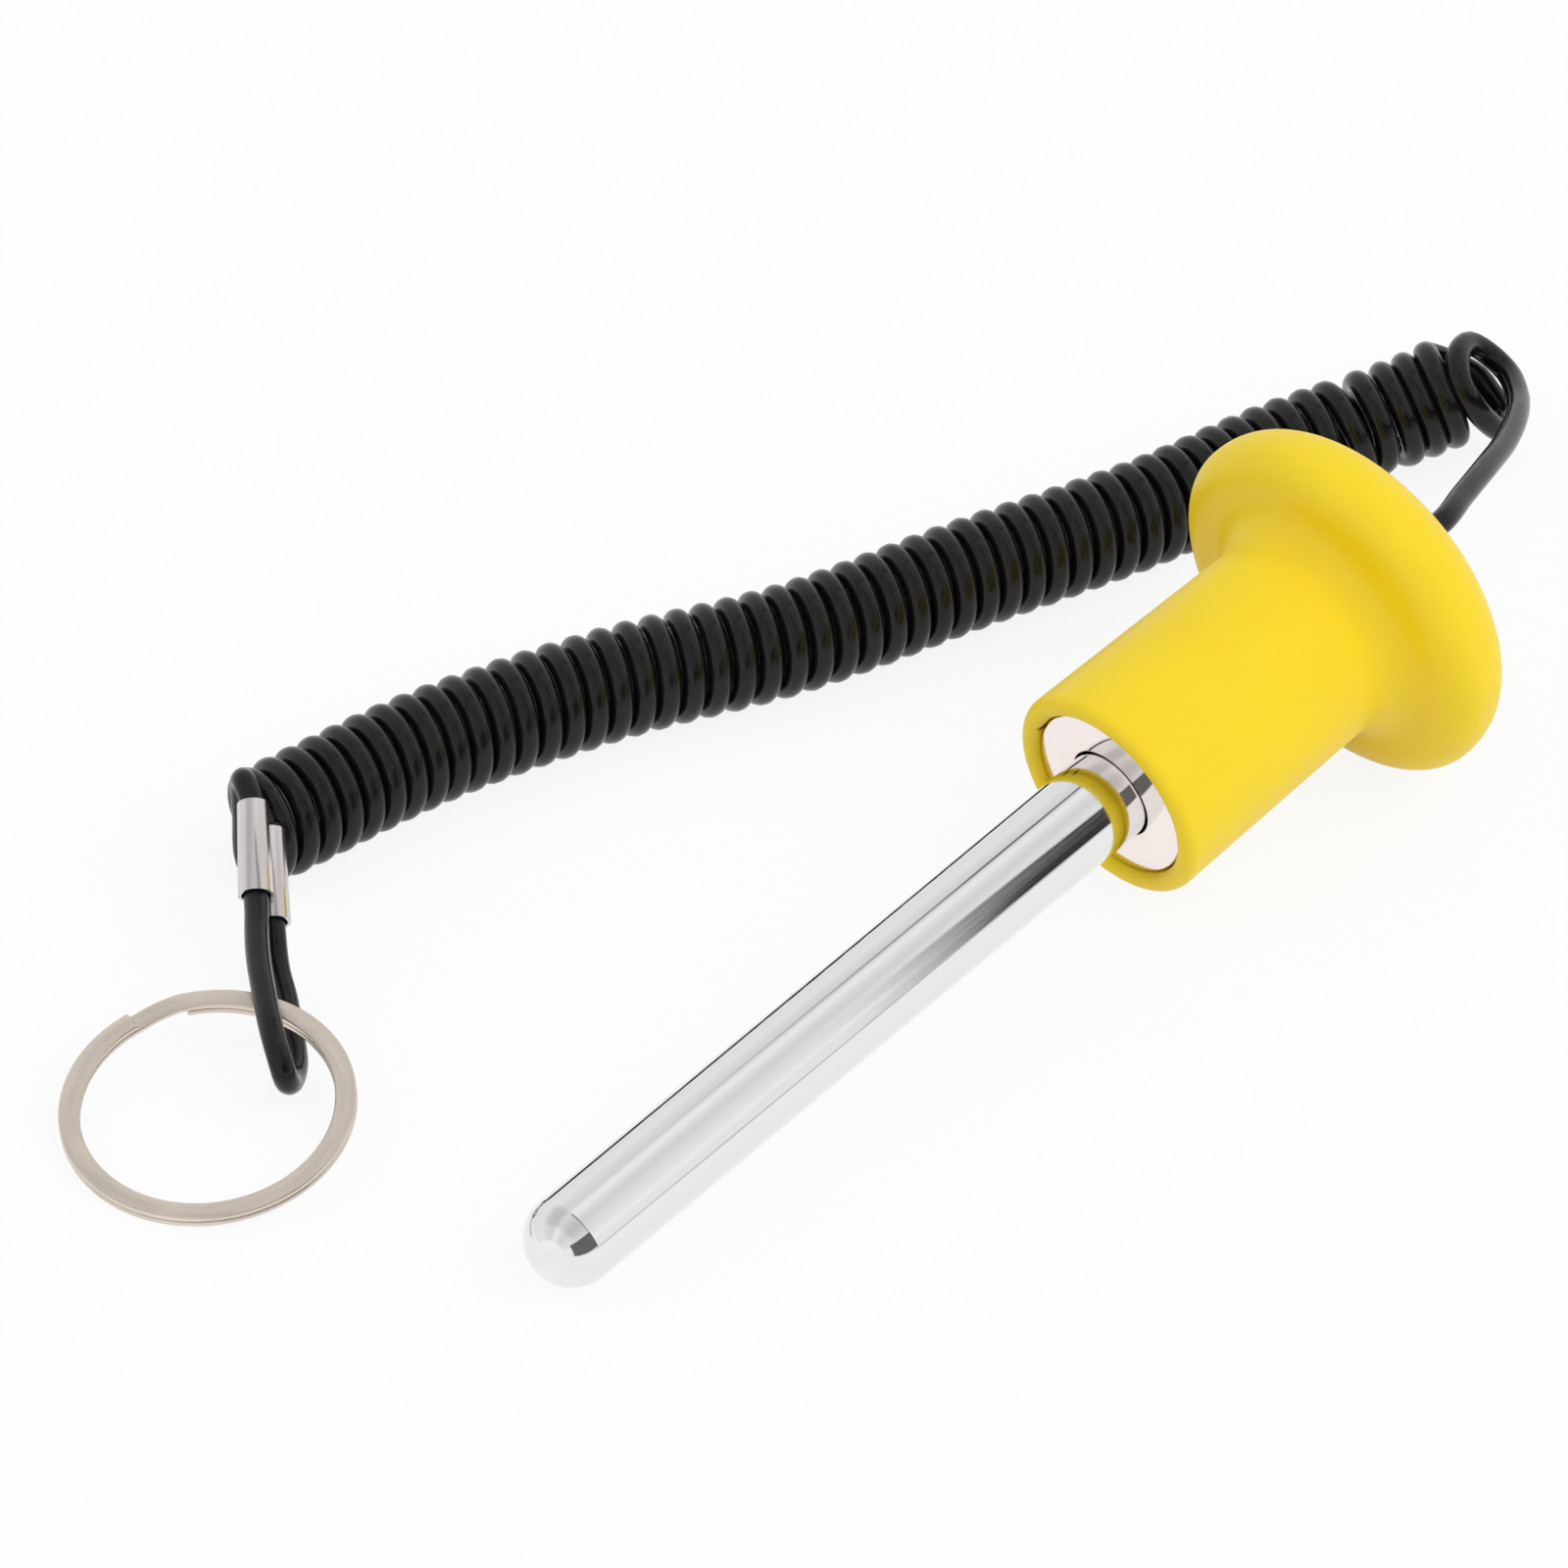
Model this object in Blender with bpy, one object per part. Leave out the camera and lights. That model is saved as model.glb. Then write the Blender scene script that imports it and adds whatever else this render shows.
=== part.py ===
"""Weight stack pin: a chromed pin in a moulded grip, on a curly cord that ends in a split ring.

Metres, +Z up. The pin's axis lies in the XZ plane, with its nose at -X and the grip at +X.
The nose and the rim of the grip's flange both touch z = 0, so the axis leans by an angle that
follows from their sizes. The origin is on z = 0, below the middle of the pin and its grip.
Each turned piece has its outline in its own X (along the axis, 0 at the magnet's face, positive
toward the crown) and its own Z (the radius).
"""

import math

import bmesh
import bpy
from mathutils import Matrix, Vector

# Pin
PIN_RADIUS = 0.0050
PIN_REACH = 0.0846          # from the magnet's face to the end of the nose
NOSE_LENGTH = 0.0046        # the domed end, half an ellipse
SHANK_DEPTH = 0.0250        # the stretch of the pin behind the magnet's face
SHANK_CHAMFER = 0.0006

# Grip
LIP_RADIUS = 0.0122
LIP_STAND = 0.0009          # how far the lip stands in front of the magnet's face
LIP_OUTER_ROUND = 0.0013
LIP_INNER_ROUND = 0.0008
BARREL_END_RADIUS = 0.0116  # the barrel tapers to this where the fillet starts
FILLET_RADIUS = 0.0040
RIM_RADIUS = 0.0204
RIM_DEPTH = 0.0351          # from the magnet's face to the widest ring of the flange
RIM_ROUND_RADIAL = 0.0041
RIM_ROUND_AXIAL = 0.0033
CROWN_DEPTH = 0.0089        # from the widest ring to the end of the crown
CROWN_POWER = 2.36          # 2 would be an ellipse, and more is flatter with a tighter edge
CORD_HOLE_PLAY = 0.00025
MOUTH_CHAMFER = 0.0004

# Ring magnet, let into the front of the grip
MAGNET_RADIUS = 0.0097
MAGNET_THICKNESS = 0.0050
MAGNET_BEVEL = 0.0002
SEAT_GAP = 0.0002           # between a piece and the pocket that it sits in

# Stop crimped on the cord's end inside the grip
STOP_RADIUS = 0.0031
STOP_LENGTH = 0.0060
STOP_RUN = 0.0030           # free chamber between the shank's end and the stop
STOP_BEVEL = 0.0005
CRIMP_GAP = 0.00013         # between the cord and what is crimped on it
CORD_TAIL = 0.0015          # cord end that stands out of a crimp

# Curly cord
CORD_DIAMETER = 0.0026
COIL_DIAMETER = 0.0120      # outside of the coil's turns, in its middle
COIL_PLAY = 0.00005         # between the coil and the ground

# Crimp sleeve with two barrels, wider at the end that faces the loop
SLEEVE_RADIUS = 0.00160
SLEEVE_MOUTH_RADIUS = 0.00186
SLEEVE_BORE_MOUTH_RADIUS = 0.00152
SLEEVE_SPACING = 0.0032
SLEEVE_SHIFT = 0.0019       # how far the lower barrel lies nearer to the ring
SLEEVE_LEAN = math.radians(31.8)  # the lower barrel is turned this much from straight below

# Split ring, two turns of flat strip
RING_OUTER_DIAMETER = 0.0306
STRIP_WIDTH = 0.0022
STRIP_THICKNESS = 0.0006
STRIP_BEVEL = 0.0002
TURN_GAP = 0.0001
RING_TILT = math.radians(9.6)     # its near-left edge is on z = 0 and it rises to the cord
RING_HEADING = math.radians(13.6)  # horizontal direction in which it rises
RING_CENTRE_XY = (-0.06927, 0.04210)
TOP_TURN = (math.radians(63.9), math.radians(403.9))
LOWER_TURN = (math.radians(422.0), math.radians(760.6))

# Where the cord lies. Each point is on the cord's centreline or the coil's axis.
LEAD_ROUTE = [
    (0.0701, -0.0001, 0.0221), (0.0760, 0.0024, 0.0206), (0.0834, 0.0058, 0.0181),
    (0.0907, 0.0096, 0.0150), (0.0975, 0.0140, 0.0120), (0.1027, 0.0185, 0.0095),
    (0.1057, 0.0227, 0.0086), (0.1057, 0.0255, 0.0095), (0.1040, 0.0266, 0.0112),
    (0.1002, 0.0249, 0.0123), (0.0984, 0.0228, 0.0113), (0.0987, 0.0209, 0.0087),
    (0.1006, 0.0199, 0.0056), (0.1023, 0.0203, 0.0041), (0.1042, 0.0214, 0.0037),
    (0.1050, 0.0229, 0.0041), (0.1053, 0.0248, 0.0050), (0.1051, 0.0262, 0.0062),
]
# After the place come the lift off the ground by the lead and the turns' outside radius there.
COIL_ROUTE = [
    (-0.0347, 0.0665, 0.0, 0.00630), (-0.0157, 0.0634, 0.0, 0.00622),
    (0.0046, 0.0570, 0.0, 0.00608), (0.0231, 0.0487, 0.0, 0.00600),
    (0.0437, 0.0426, 0.0, 0.00600), (0.0643, 0.0363, 0.0, 0.00588),
    (0.0806, 0.0330, 0.0, 0.00580), (0.0939, 0.0287, 0.0, 0.00588),
    (0.0963, 0.0278, 0.0002, 0.00592), (0.0985, 0.0265, 0.0009, 0.00596),
    (0.1000, 0.0253, 0.0015, 0.00600),
]
LOOP_START = [
    (-0.0357, 0.0713, 0.0062), (-0.0364, 0.0706, 0.0088), (-0.0378, 0.0693, 0.0116),
    (-0.0391, 0.0677, 0.0136),
]
SLEEVE_START = (-0.04092, 0.0641, 0.01333)
SLEEVE_END = (-0.04736, 0.05718, 0.0090)
LOOP_BIGHT = [
    (-0.0489, 0.0555, 0.0086), (-0.0507, 0.0537, 0.0084), (-0.0536, 0.0505, 0.0084),
    (-0.0571, 0.0461, 0.0084), (-0.0605, 0.0415, 0.0081), (-0.0622, 0.0386, 0.0070),
    (-0.0621, 0.0380, 0.0050), (-0.0605, 0.0389, 0.0031), (-0.0575, 0.0413, 0.0021),
    (-0.0544, 0.0450, 0.0022), (-0.0513, 0.0491, 0.0026), (-0.0494, 0.0521, 0.0035),
]

# Fineness of the faceted surfaces
KNOB_SIDES = 60
PIN_SIDES = 48
SLEEVE_SIDES = 24
STOP_SIDES = 24
ARC_STEPS = 5
RIM_STEPS = 7
CROWN_STEPS = 11
NOSE_STEPS = 8
RING_STEP = math.radians(7.5)

# Sizes that follow from those above
CORD_RADIUS = CORD_DIAMETER / 2
NOSE_DEPTH = PIN_REACH - NOSE_LENGTH
STOP_START = SHANK_DEPTH + STOP_RUN
STOP_END = STOP_START + STOP_LENGTH
CRIMP_BORE_RADIUS = CORD_RADIUS + CRIMP_GAP
RING_RADIUS = (RING_OUTER_DIAMETER - STRIP_WIDTH) / 2
RING_HALF_HEIGHT = STRIP_THICKNESS + TURN_GAP / 2


def arc(centre, half_axes, start, end, steps, power=2.0):
    """Points of a superellipse (an ellipse when power is 2), from one angle to another.

    The angles are in quarter turns: 0 is along +radius and 1 is along +axis.
    """
    points = []
    for step in range(steps + 1):
        angle = (start + (end - start) * step / steps) * math.pi / 2
        sine, cosine = math.sin(angle), math.cos(angle)
        along = math.copysign(abs(sine) ** (2 / power), sine)
        outward = math.copysign(abs(cosine) ** (2 / power), cosine)
        points.append((centre[0] + half_axes[0] * along, centre[1] + half_axes[1] * outward))
    return points


def grip_outline():
    """The grip's section, from the cord hole's mouth round the outside and back inside."""
    hole_radius = CORD_RADIUS + CORD_HOLE_PLAY
    mouth_radius = hole_radius + MOUTH_CHAMFER
    mouth_angle = math.acos((mouth_radius / RIM_RADIUS) ** (CROWN_POWER / 2)) / (math.pi / 2)
    crown = arc((RIM_DEPTH, 0), (CROWN_DEPTH, RIM_RADIUS), mouth_angle, 0, CROWN_STEPS, CROWN_POWER)
    rim_centre = (RIM_DEPTH, RIM_RADIUS - RIM_ROUND_RADIAL)
    rim = arc(rim_centre, (RIM_ROUND_AXIAL, RIM_ROUND_RADIAL), 0, -1, RIM_STEPS)
    fillet_radius = min(FILLET_RADIUS, rim_centre[1] - BARREL_END_RADIUS)
    flange_front = RIM_DEPTH - RIM_ROUND_AXIAL
    fillet_centre = (flange_front - fillet_radius, BARREL_END_RADIUS + fillet_radius)
    fillet = arc(fillet_centre, (fillet_radius, fillet_radius), 1, 2, ARC_STEPS)
    lip_front = -LIP_STAND
    lip_centre = (lip_front + LIP_OUTER_ROUND, LIP_RADIUS - LIP_OUTER_ROUND)
    lip = arc(lip_centre, (LIP_OUTER_ROUND, LIP_OUTER_ROUND), 0, -1, ARC_STEPS)
    pocket_radius = MAGNET_RADIUS + SEAT_GAP
    edge_centre = (lip_front + LIP_INNER_ROUND, pocket_radius + LIP_INNER_ROUND)
    edge = arc(edge_centre, (LIP_INNER_ROUND, LIP_INNER_ROUND), -1, -2, ARC_STEPS)
    pocket_floor = MAGNET_THICKNESS + SEAT_GAP
    bore_radius = PIN_RADIUS + SEAT_GAP
    bore_floor = SHANK_DEPTH + SEAT_GAP
    chamber_radius = STOP_RADIUS + SEAT_GAP
    chamber_end = STOP_END + SEAT_GAP
    inside = [
        (pocket_floor, pocket_radius), (pocket_floor, bore_radius), (bore_floor, bore_radius),
        (bore_floor, chamber_radius), (chamber_end, chamber_radius), (chamber_end, hole_radius),
        (crown[0][0] - MOUTH_CHAMFER, hole_radius),
    ]
    return crown + rim[1:] + fillet + lip + edge + inside


def pin_outline():
    """The pin's section, from the middle of the nose to the middle of the shank's end."""
    nose = arc((-NOSE_DEPTH, 0), (NOSE_LENGTH, PIN_RADIUS), -1, 0, NOSE_STEPS)
    nose[0] = (-PIN_REACH, 0.0)
    shank = [
        (SHANK_DEPTH - SHANK_CHAMFER, PIN_RADIUS), (SHANK_DEPTH, PIN_RADIUS - SHANK_CHAMFER),
        (SHANK_DEPTH, 0.0),
    ]
    return nose + shank


def magnet_outline():
    """The magnet's section: a rectangle with small bevels."""
    bore_radius = PIN_RADIUS + SEAT_GAP
    bevel = MAGNET_BEVEL
    back = MAGNET_THICKNESS
    return [
        (0, bore_radius + bevel), (0, MAGNET_RADIUS - bevel), (bevel, MAGNET_RADIUS),
        (back - bevel, MAGNET_RADIUS), (back, MAGNET_RADIUS - bevel), (back, bore_radius + bevel),
        (back - bevel, bore_radius), (bevel, bore_radius),
    ]


def stop_outline():
    """The crimped stop's section, with its outer corners taken off."""
    bevel = STOP_BEVEL
    return [
        (STOP_START, CRIMP_BORE_RADIUS), (STOP_START, STOP_RADIUS - bevel),
        (STOP_START + bevel, STOP_RADIUS), (STOP_END - bevel, STOP_RADIUS),
        (STOP_END, STOP_RADIUS - bevel), (STOP_END, CRIMP_BORE_RADIUS),
    ]


def resting_tilt():
    """The angle at which the nose and the flange's rim both touch the ground.

    Seen from the side, the lowest point of each round end is where its ellipse is level.
    """
    span = RIM_DEPTH + NOSE_DEPTH
    tilt = 0.0
    for _ in range(20):
        nose = math.hypot(PIN_RADIUS * math.cos(tilt), NOSE_LENGTH * math.sin(tilt))
        rim_edge = math.hypot(RIM_ROUND_RADIAL * math.cos(tilt), RIM_ROUND_AXIAL * math.sin(tilt))
        rim = (RIM_RADIUS - RIM_ROUND_RADIAL) * math.cos(tilt) + rim_edge
        tilt = math.asin((rim - nose) / span)
    return tilt


def pin_frame():
    """Matrix of the pin's axis: its own X runs up toward the crown, 0 at the magnet's face."""
    tilt = resting_tilt()
    lean = Matrix.Rotation(-tilt, 4, "Y")
    corners = [lean @ Vector((x, 0, -radius)) for x, radius in grip_outline() + pin_outline()]
    middle = (min(corner.x for corner in corners) + max(corner.x for corner in corners)) / 2
    lowest = min(corner.z for corner in corners)
    return Matrix.Translation((-middle, 0, -lowest)) @ lean


def smooth_route(points, spacing):
    """Points along a centripetal Catmull-Rom curve through a list of points."""
    padded = [2 * points[0] - points[1], *points, 2 * points[-1] - points[-2]]
    route = []
    for before, start, end, after in zip(padded, padded[1:], padded[2:], padded[3:]):
        knots = [0.0]
        pairs = ((before, start), (start, end), (end, after))
        for first, second in pairs:
            knots.append(knots[-1] + math.sqrt((second - first).length))
        steps = max(1, round((end - start).length / spacing))
        for step in range(steps):
            at = knots[1] + (knots[2] - knots[1]) * step / steps
            outer = [
                low.lerp(high, (at - knots[i]) / (knots[i + 1] - knots[i]))
                for i, (low, high) in enumerate(pairs)
            ]
            inner = [
                outer[i].lerp(outer[i + 1], (at - knots[i]) / (knots[i + 2] - knots[i]))
                for i in range(2)
            ]
            route.append(inner[0].lerp(inner[1], (at - knots[1]) / (knots[2] - knots[1])))
    route.append(points[-1])
    return route


def material(name, colour, roughness, metallic=0.0):
    """A plain Principled material."""
    made = bpy.data.materials.new(name)
    made.use_nodes = True
    shader = made.node_tree.nodes["Principled BSDF"]
    shader.inputs["Base Color"].default_value = (*colour, 1.0)
    shader.inputs["Roughness"].default_value = roughness
    shader.inputs["Metallic"].default_value = metallic
    return made


def add_object(name, data, surface, parent=None):
    """Link an object for a mesh or curve to the scene."""
    made = bpy.data.objects.new(name, data)
    bpy.context.scene.collection.objects.link(made)
    data.materials.append(surface)
    made.parent = parent
    return made


def add_empty(name, matrix):
    """An empty that carries a piece or an axis."""
    made = bpy.data.objects.new(name, None)
    made.empty_display_size = 0.01
    bpy.context.scene.collection.objects.link(made)
    made.matrix_world = matrix
    return made


def finish_mesh(name, bm, sharp_angle=math.radians(35)):
    """Turn a bmesh into a smooth-shaded mesh with its faces pointing out."""
    bm.normal_update()
    bmesh.ops.recalc_face_normals(bm, faces=bm.faces)
    mesh = bpy.data.meshes.new(name)
    bm.to_mesh(mesh)
    bm.free()
    mesh.shade_smooth()
    mesh.set_sharp_from_angle(angle=sharp_angle)
    return mesh


def turned(name, outline, sides, surface, parent, closed=True):
    """A piece turned about its parent's X axis from a section in the XZ plane."""
    bm = bmesh.new()
    verts = [bm.verts.new((x, 0, radius)) for x, radius in outline]
    edges = [bm.edges.new(pair) for pair in zip(verts, verts[1:])]
    if closed:
        edges.append(bm.edges.new((verts[-1], verts[0])))
    bmesh.ops.spin(
        bm, geom=verts + edges, cent=(0, 0, 0), axis=(1, 0, 0), angle=math.tau,
        steps=sides, use_merge=True, use_duplicate=False,
    )
    bmesh.ops.remove_doubles(bm, verts=bm.verts, dist=1e-7)
    return add_object(name, finish_mesh(name, bm), surface, parent)


def tube(name, route, radii, roundness, surface):
    """A plain round tube along a route: a curve with a bevel and closed ends."""
    curve = bpy.data.curves.new(name, "CURVE")
    curve.dimensions = "3D"
    curve.bevel_depth = 1.0
    curve.bevel_resolution = roundness
    curve.use_fill_caps = True
    spline = curve.splines.new("POLY")
    spline.points.add(len(route) - 1)
    for point, place, radius in zip(spline.points, route, radii):
        point.co = (*place, 1.0)
        point.radius = radius
    return add_object(name, curve, surface)


def cord(name, route, surface):
    """A length of the cord, as thick all along."""
    return tube(name, route, [CORD_RADIUS] * len(route), 2, surface)


def lead_route(axis):
    """The cord from its stop inside the grip to the coil's first end."""
    start = axis @ Vector((STOP_START - CORD_TAIL, 0, 0))
    mouth = axis @ Vector((RIM_DEPTH + CROWN_DEPTH + CORD_DIAMETER, 0, 0))
    free = [mouth] + [Vector(point) for point in LEAD_ROUTE]
    return [start] + smooth_route(free, CORD_DIAMETER)


def coil_route():
    """The coil's axis and its radius there. It lies on the ground, apart from its last turns."""
    axis = [Vector((x, y, radius + COIL_PLAY + lift, radius)) for x, y, lift, radius in COIL_ROUTE]
    route = smooth_route(axis, COIL_DIAMETER / 2)
    return [point.xyz for point in route], [point.w for point in route]


def sleeve_frame():
    """Matrix of the sleeve: its own X runs down the upper barrel, its Z to the lower one."""
    start = Vector(SLEEVE_START)
    along = (Vector(SLEEVE_END) - start).normalized()
    level = along.cross(Vector((0, 0, 1))).normalized()
    down = along.cross(level)
    if down.z > 0:
        level, down = -level, -down
    side = level if level.x > 0 else -level
    lower = (math.cos(SLEEVE_LEAN) * down + math.sin(SLEEVE_LEAN) * side).normalized()
    across = lower.cross(along)
    frame = Matrix((along, across, lower)).transposed().to_4x4()
    return Matrix.Translation(start) @ frame


def sleeve_length():
    """Length of each barrel."""
    return (Vector(SLEEVE_END) - Vector(SLEEVE_START)).length


def loop_route():
    """The cord from the coil's other end, down one barrel, round the ring and back up."""
    frame = sleeve_frame()
    length = sleeve_length()
    upper_start = frame @ Vector((-CORD_TAIL / 3, 0, 0))
    upper_end = frame @ Vector((length + CORD_TAIL / 3, 0, 0))
    lower_end = frame @ Vector((length + SLEEVE_SHIFT + CORD_TAIL / 2, 0, SLEEVE_SPACING))
    lower_start = frame @ Vector((SLEEVE_SHIFT - CORD_TAIL, 0, SLEEVE_SPACING))
    first = [Vector(point) for point in LOOP_START] + [upper_start]
    bight = [upper_end] + [Vector(point) for point in LOOP_BIGHT] + [lower_end]
    spacing = CORD_DIAMETER / 2
    return smooth_route(first, spacing) + smooth_route(bight, spacing * 2) + [lower_start]


def barrel(name, offset, radius, mouth_radius, overrun, surface, parent):
    """A round bar or cone along the sleeve, used for its barrels and their bores."""
    length = sleeve_length()
    slope = (mouth_radius - radius) / length
    bm = bmesh.new()
    bmesh.ops.create_cone(
        bm, cap_ends=True, segments=SLEEVE_SIDES, radius1=radius - slope * overrun,
        radius2=mouth_radius + slope * overrun, depth=length + 2 * overrun,
    )
    shift = SLEEVE_SHIFT * offset / SLEEVE_SPACING
    turn = Matrix.Rotation(math.pi / 2, 4, "Y")
    bm.transform(Matrix.Translation((length / 2 + shift, 0, offset)) @ turn)
    return add_object(name, finish_mesh(name, bm), surface, parent)


def add_boolean(target, other, operation):
    """Join to or cut from a piece with another, which is then hidden."""
    step = target.modifiers.new(other.name, "BOOLEAN")
    step.operation = operation
    step.object = other
    step.solver = "EXACT"
    other.hide_render = True
    other.display_type = "WIRE"


def crimp_sleeve(surface):
    """Two barrels side by side in one piece, with a bore down each."""
    carrier = add_empty("sleeve_axis", sleeve_frame())
    radii = (SLEEVE_RADIUS, SLEEVE_MOUTH_RADIUS)
    bore_radii = (CRIMP_BORE_RADIUS, SLEEVE_BORE_MOUTH_RADIUS)
    sleeve = barrel("crimp_sleeve", 0, *radii, 0, surface, carrier)
    lower = barrel("lower_barrel", SLEEVE_SPACING, *radii, 0, surface, carrier)
    add_boolean(sleeve, lower, "UNION")
    for name, offset in (("upper_bore", 0), ("lower_bore", SLEEVE_SPACING)):
        bore = barrel(name, offset, *bore_radii, SLEEVE_RADIUS, surface, carrier)
        add_boolean(sleeve, bore, "DIFFERENCE")
    return sleeve


def ring_frame():
    """Matrix of the ring's hinge, where the cord passes round it: its own Y is the axis.

    Its own X points away from the ring's centre, and its Z is square to the ring's face.
    """
    turn = Matrix.Rotation(RING_HEADING, 4, "Z") @ Matrix.Rotation(-RING_TILT, 4, "Y")
    rise = (RING_OUTER_DIAMETER / 2) * math.sin(RING_TILT)
    rise += RING_HALF_HEIGHT * math.cos(RING_TILT)
    centre = Vector((*RING_CENTRE_XY, rise))
    hinge = centre + turn @ Vector((RING_RADIUS, 0, 0))
    return Matrix.Translation(hinge) @ turn


def split_ring(surface):
    """Flat strip wound twice round, with a short slope from the top turn to the lower one."""
    carrier = add_empty("ring_hinge", ring_frame())
    centre = Vector((-RING_RADIUS, 0, 0))
    level = (STRIP_THICKNESS + TURN_GAP) / 2
    half_width = STRIP_WIDTH / 2
    half_thickness = STRIP_THICKNESS / 2
    section = []
    for side, face in ((1, 1), (-1, 1), (-1, -1), (1, -1)):
        flat = (side * (half_width - STRIP_BEVEL), face * half_thickness)
        edge = (side * half_width, face * (half_thickness - STRIP_BEVEL))
        section += [edge, flat] if side * face > 0 else [flat, edge]
    bm = bmesh.new()
    start = Matrix.Rotation(TOP_TURN[0], 3, "Z")
    verts = [
        bm.verts.new(centre + start @ Vector((RING_RADIUS + outward, 0, level + up)))
        for outward, up in section
    ]
    edges = [bm.edges.new(pair) for pair in zip(verts, verts[1:] + verts[:1])]
    bmesh.ops.edgeloop_fill(bm, edges=edges)
    turns = (
        (TOP_TURN[1] - TOP_TURN[0], 0.0),
        (LOWER_TURN[0] - TOP_TURN[1], -2 * level),
        (LOWER_TURN[1] - LOWER_TURN[0], 0.0),
    )
    for angle, drop in turns:
        steps = max(2, round(angle / RING_STEP))
        swept = bmesh.ops.spin(
            bm, geom=edges, cent=centre, axis=(0, 0, 1), dvec=(0, 0, drop / steps),
            angle=angle, steps=steps, use_merge=False, use_duplicate=False,
        )
        edges = [item for item in swept["geom_last"] if isinstance(item, bmesh.types.BMEdge)]
    bmesh.ops.edgeloop_fill(bm, edges=edges)
    return add_object("split_ring", finish_mesh("split_ring", bm), surface, carrier)


def main():
    for old in list(bpy.data.objects):
        bpy.data.objects.remove(old, do_unlink=True)

    yellow = material("yellow_plastic", (0.95, 0.72, 0.02), 0.38)
    nickel = material("bright_nickel", (0.78, 0.74, 0.72), 0.12, 1.0)
    chrome = material("chrome", (0.72, 0.72, 0.73), 0.08, 1.0)
    black = material("black_cord", (0.012, 0.011, 0.011), 0.30)
    aluminium = material("aluminium", (0.66, 0.64, 0.63), 0.35, 1.0)
    plated = material("brushed_nickel", (0.62, 0.58, 0.52), 0.30, 1.0)

    axis = add_empty("pin_axis", pin_frame())
    bpy.context.view_layer.update()
    turned("grip_knob", grip_outline(), KNOB_SIDES, yellow, axis)
    turned("ring_magnet", magnet_outline(), KNOB_SIDES, nickel, axis)
    turned("pin_shaft", pin_outline(), PIN_SIDES, chrome, axis, closed=False)
    turned("cord_stop", stop_outline(), STOP_SIDES, aluminium, axis)

    cord("cord_lead", lead_route(axis.matrix_world), black)
    tube("cord_coil", *coil_route(), 4, black)
    cord("cord_loop", loop_route(), black)
    crimp_sleeve(aluminium)
    split_ring(plated)


if __name__ == "__main__":
    main()
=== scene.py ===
"""Looks of the weight stack pin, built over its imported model.

Metres, +Z up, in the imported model's frame. Each piece lies where its CAD node lies.
A turned piece has its outline in its own X (along the axis, 0 at the magnet's face, positive
toward the crown) and its own Z (the radius).
"""

import math

import bmesh
import bpy
from bpy.props import FloatProperty, FloatVectorProperty, IntProperty, PointerProperty
from mathutils import Matrix, Vector


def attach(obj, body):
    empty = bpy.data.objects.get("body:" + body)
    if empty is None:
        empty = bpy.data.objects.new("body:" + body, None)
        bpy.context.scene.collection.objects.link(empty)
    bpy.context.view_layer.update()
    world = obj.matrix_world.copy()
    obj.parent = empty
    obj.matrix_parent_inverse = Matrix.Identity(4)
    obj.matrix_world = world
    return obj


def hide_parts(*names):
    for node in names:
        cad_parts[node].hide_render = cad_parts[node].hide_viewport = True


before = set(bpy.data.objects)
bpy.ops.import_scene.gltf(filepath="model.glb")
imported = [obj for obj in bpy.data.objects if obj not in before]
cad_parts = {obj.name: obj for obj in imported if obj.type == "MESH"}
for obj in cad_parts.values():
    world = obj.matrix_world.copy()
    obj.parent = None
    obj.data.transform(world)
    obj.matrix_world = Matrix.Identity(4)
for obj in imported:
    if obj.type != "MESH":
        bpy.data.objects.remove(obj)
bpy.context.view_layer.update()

bl_info = {
    "name": "Weight Stack Pin",
    "version": (1, 0, 0),
    "blender": (4, 5, 0),
    "location": "3D Viewport > Sidebar > Stack Pin",
    "description": "Builds a weight stack pin on a curly cord, and a studio round it",
    "category": "Add Mesh",
}

UP = Vector((0, 0, 1))
BODY = "pin_and_cord"
RING_BODY = "tether_ring"
MERGE_DISTANCE = 1e-7
CORNER_ANGLE = math.radians(60)

# Pin
PIN_RADIUS = 0.0050
PIN_REACH = 0.0846
NOSE_LENGTH = 0.0046
SHANK_DEPTH = 0.0250
SHANK_CHAMFER = 0.0006

# Grip
LIP_RADIUS = 0.0122
LIP_STAND = 0.0009
LIP_OUTER_ROUND = 0.0013
LIP_INNER_ROUND = 0.0008
BARREL_END_RADIUS = 0.0116
FILLET_RADIUS = 0.0040
RIM_RADIUS = 0.0204
RIM_DEPTH = 0.0351
RIM_ROUND_RADIAL = 0.0041
RIM_ROUND_AXIAL = 0.0033
CROWN_DEPTH = 0.0089
CROWN_POWER = 2.36
CORD_HOLE_RADIUS = 0.00155
MOUTH_CHAMFER = 0.0004

# Steps of the rounds in the turned outlines
CROWN_STEPS = 40
NOSE_STEPS = 30
RIM_STEPS = 20
FILLET_STEPS = 16
LIP_STEPS = 12
EDGE_STEPS = 10
BEVEL_STEPS = 4

# Ring magnet and its seat
MAGNET_RADIUS = 0.0097
MAGNET_THICKNESS = 0.0050
MAGNET_BEVEL = 0.0002
SEAT_GAP = 0.0002

# Stop inside the grip
STOP_RADIUS = 0.0031
STOP_START = 0.0280
STOP_END = 0.0340
CORD_TAIL = 0.0015

# Curly cord
CORD_DIAMETER = 0.0026
CORD_RADIUS = CORD_DIAMETER / 2
COIL_PLAY = 0.00005
CORD_SPACING = CORD_DIAMETER / 3
AXIS_SPACING = 0.001
# Points of the coil's axis, to each side, over which its direction is evened out
AXIS_REACH = 8

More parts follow.
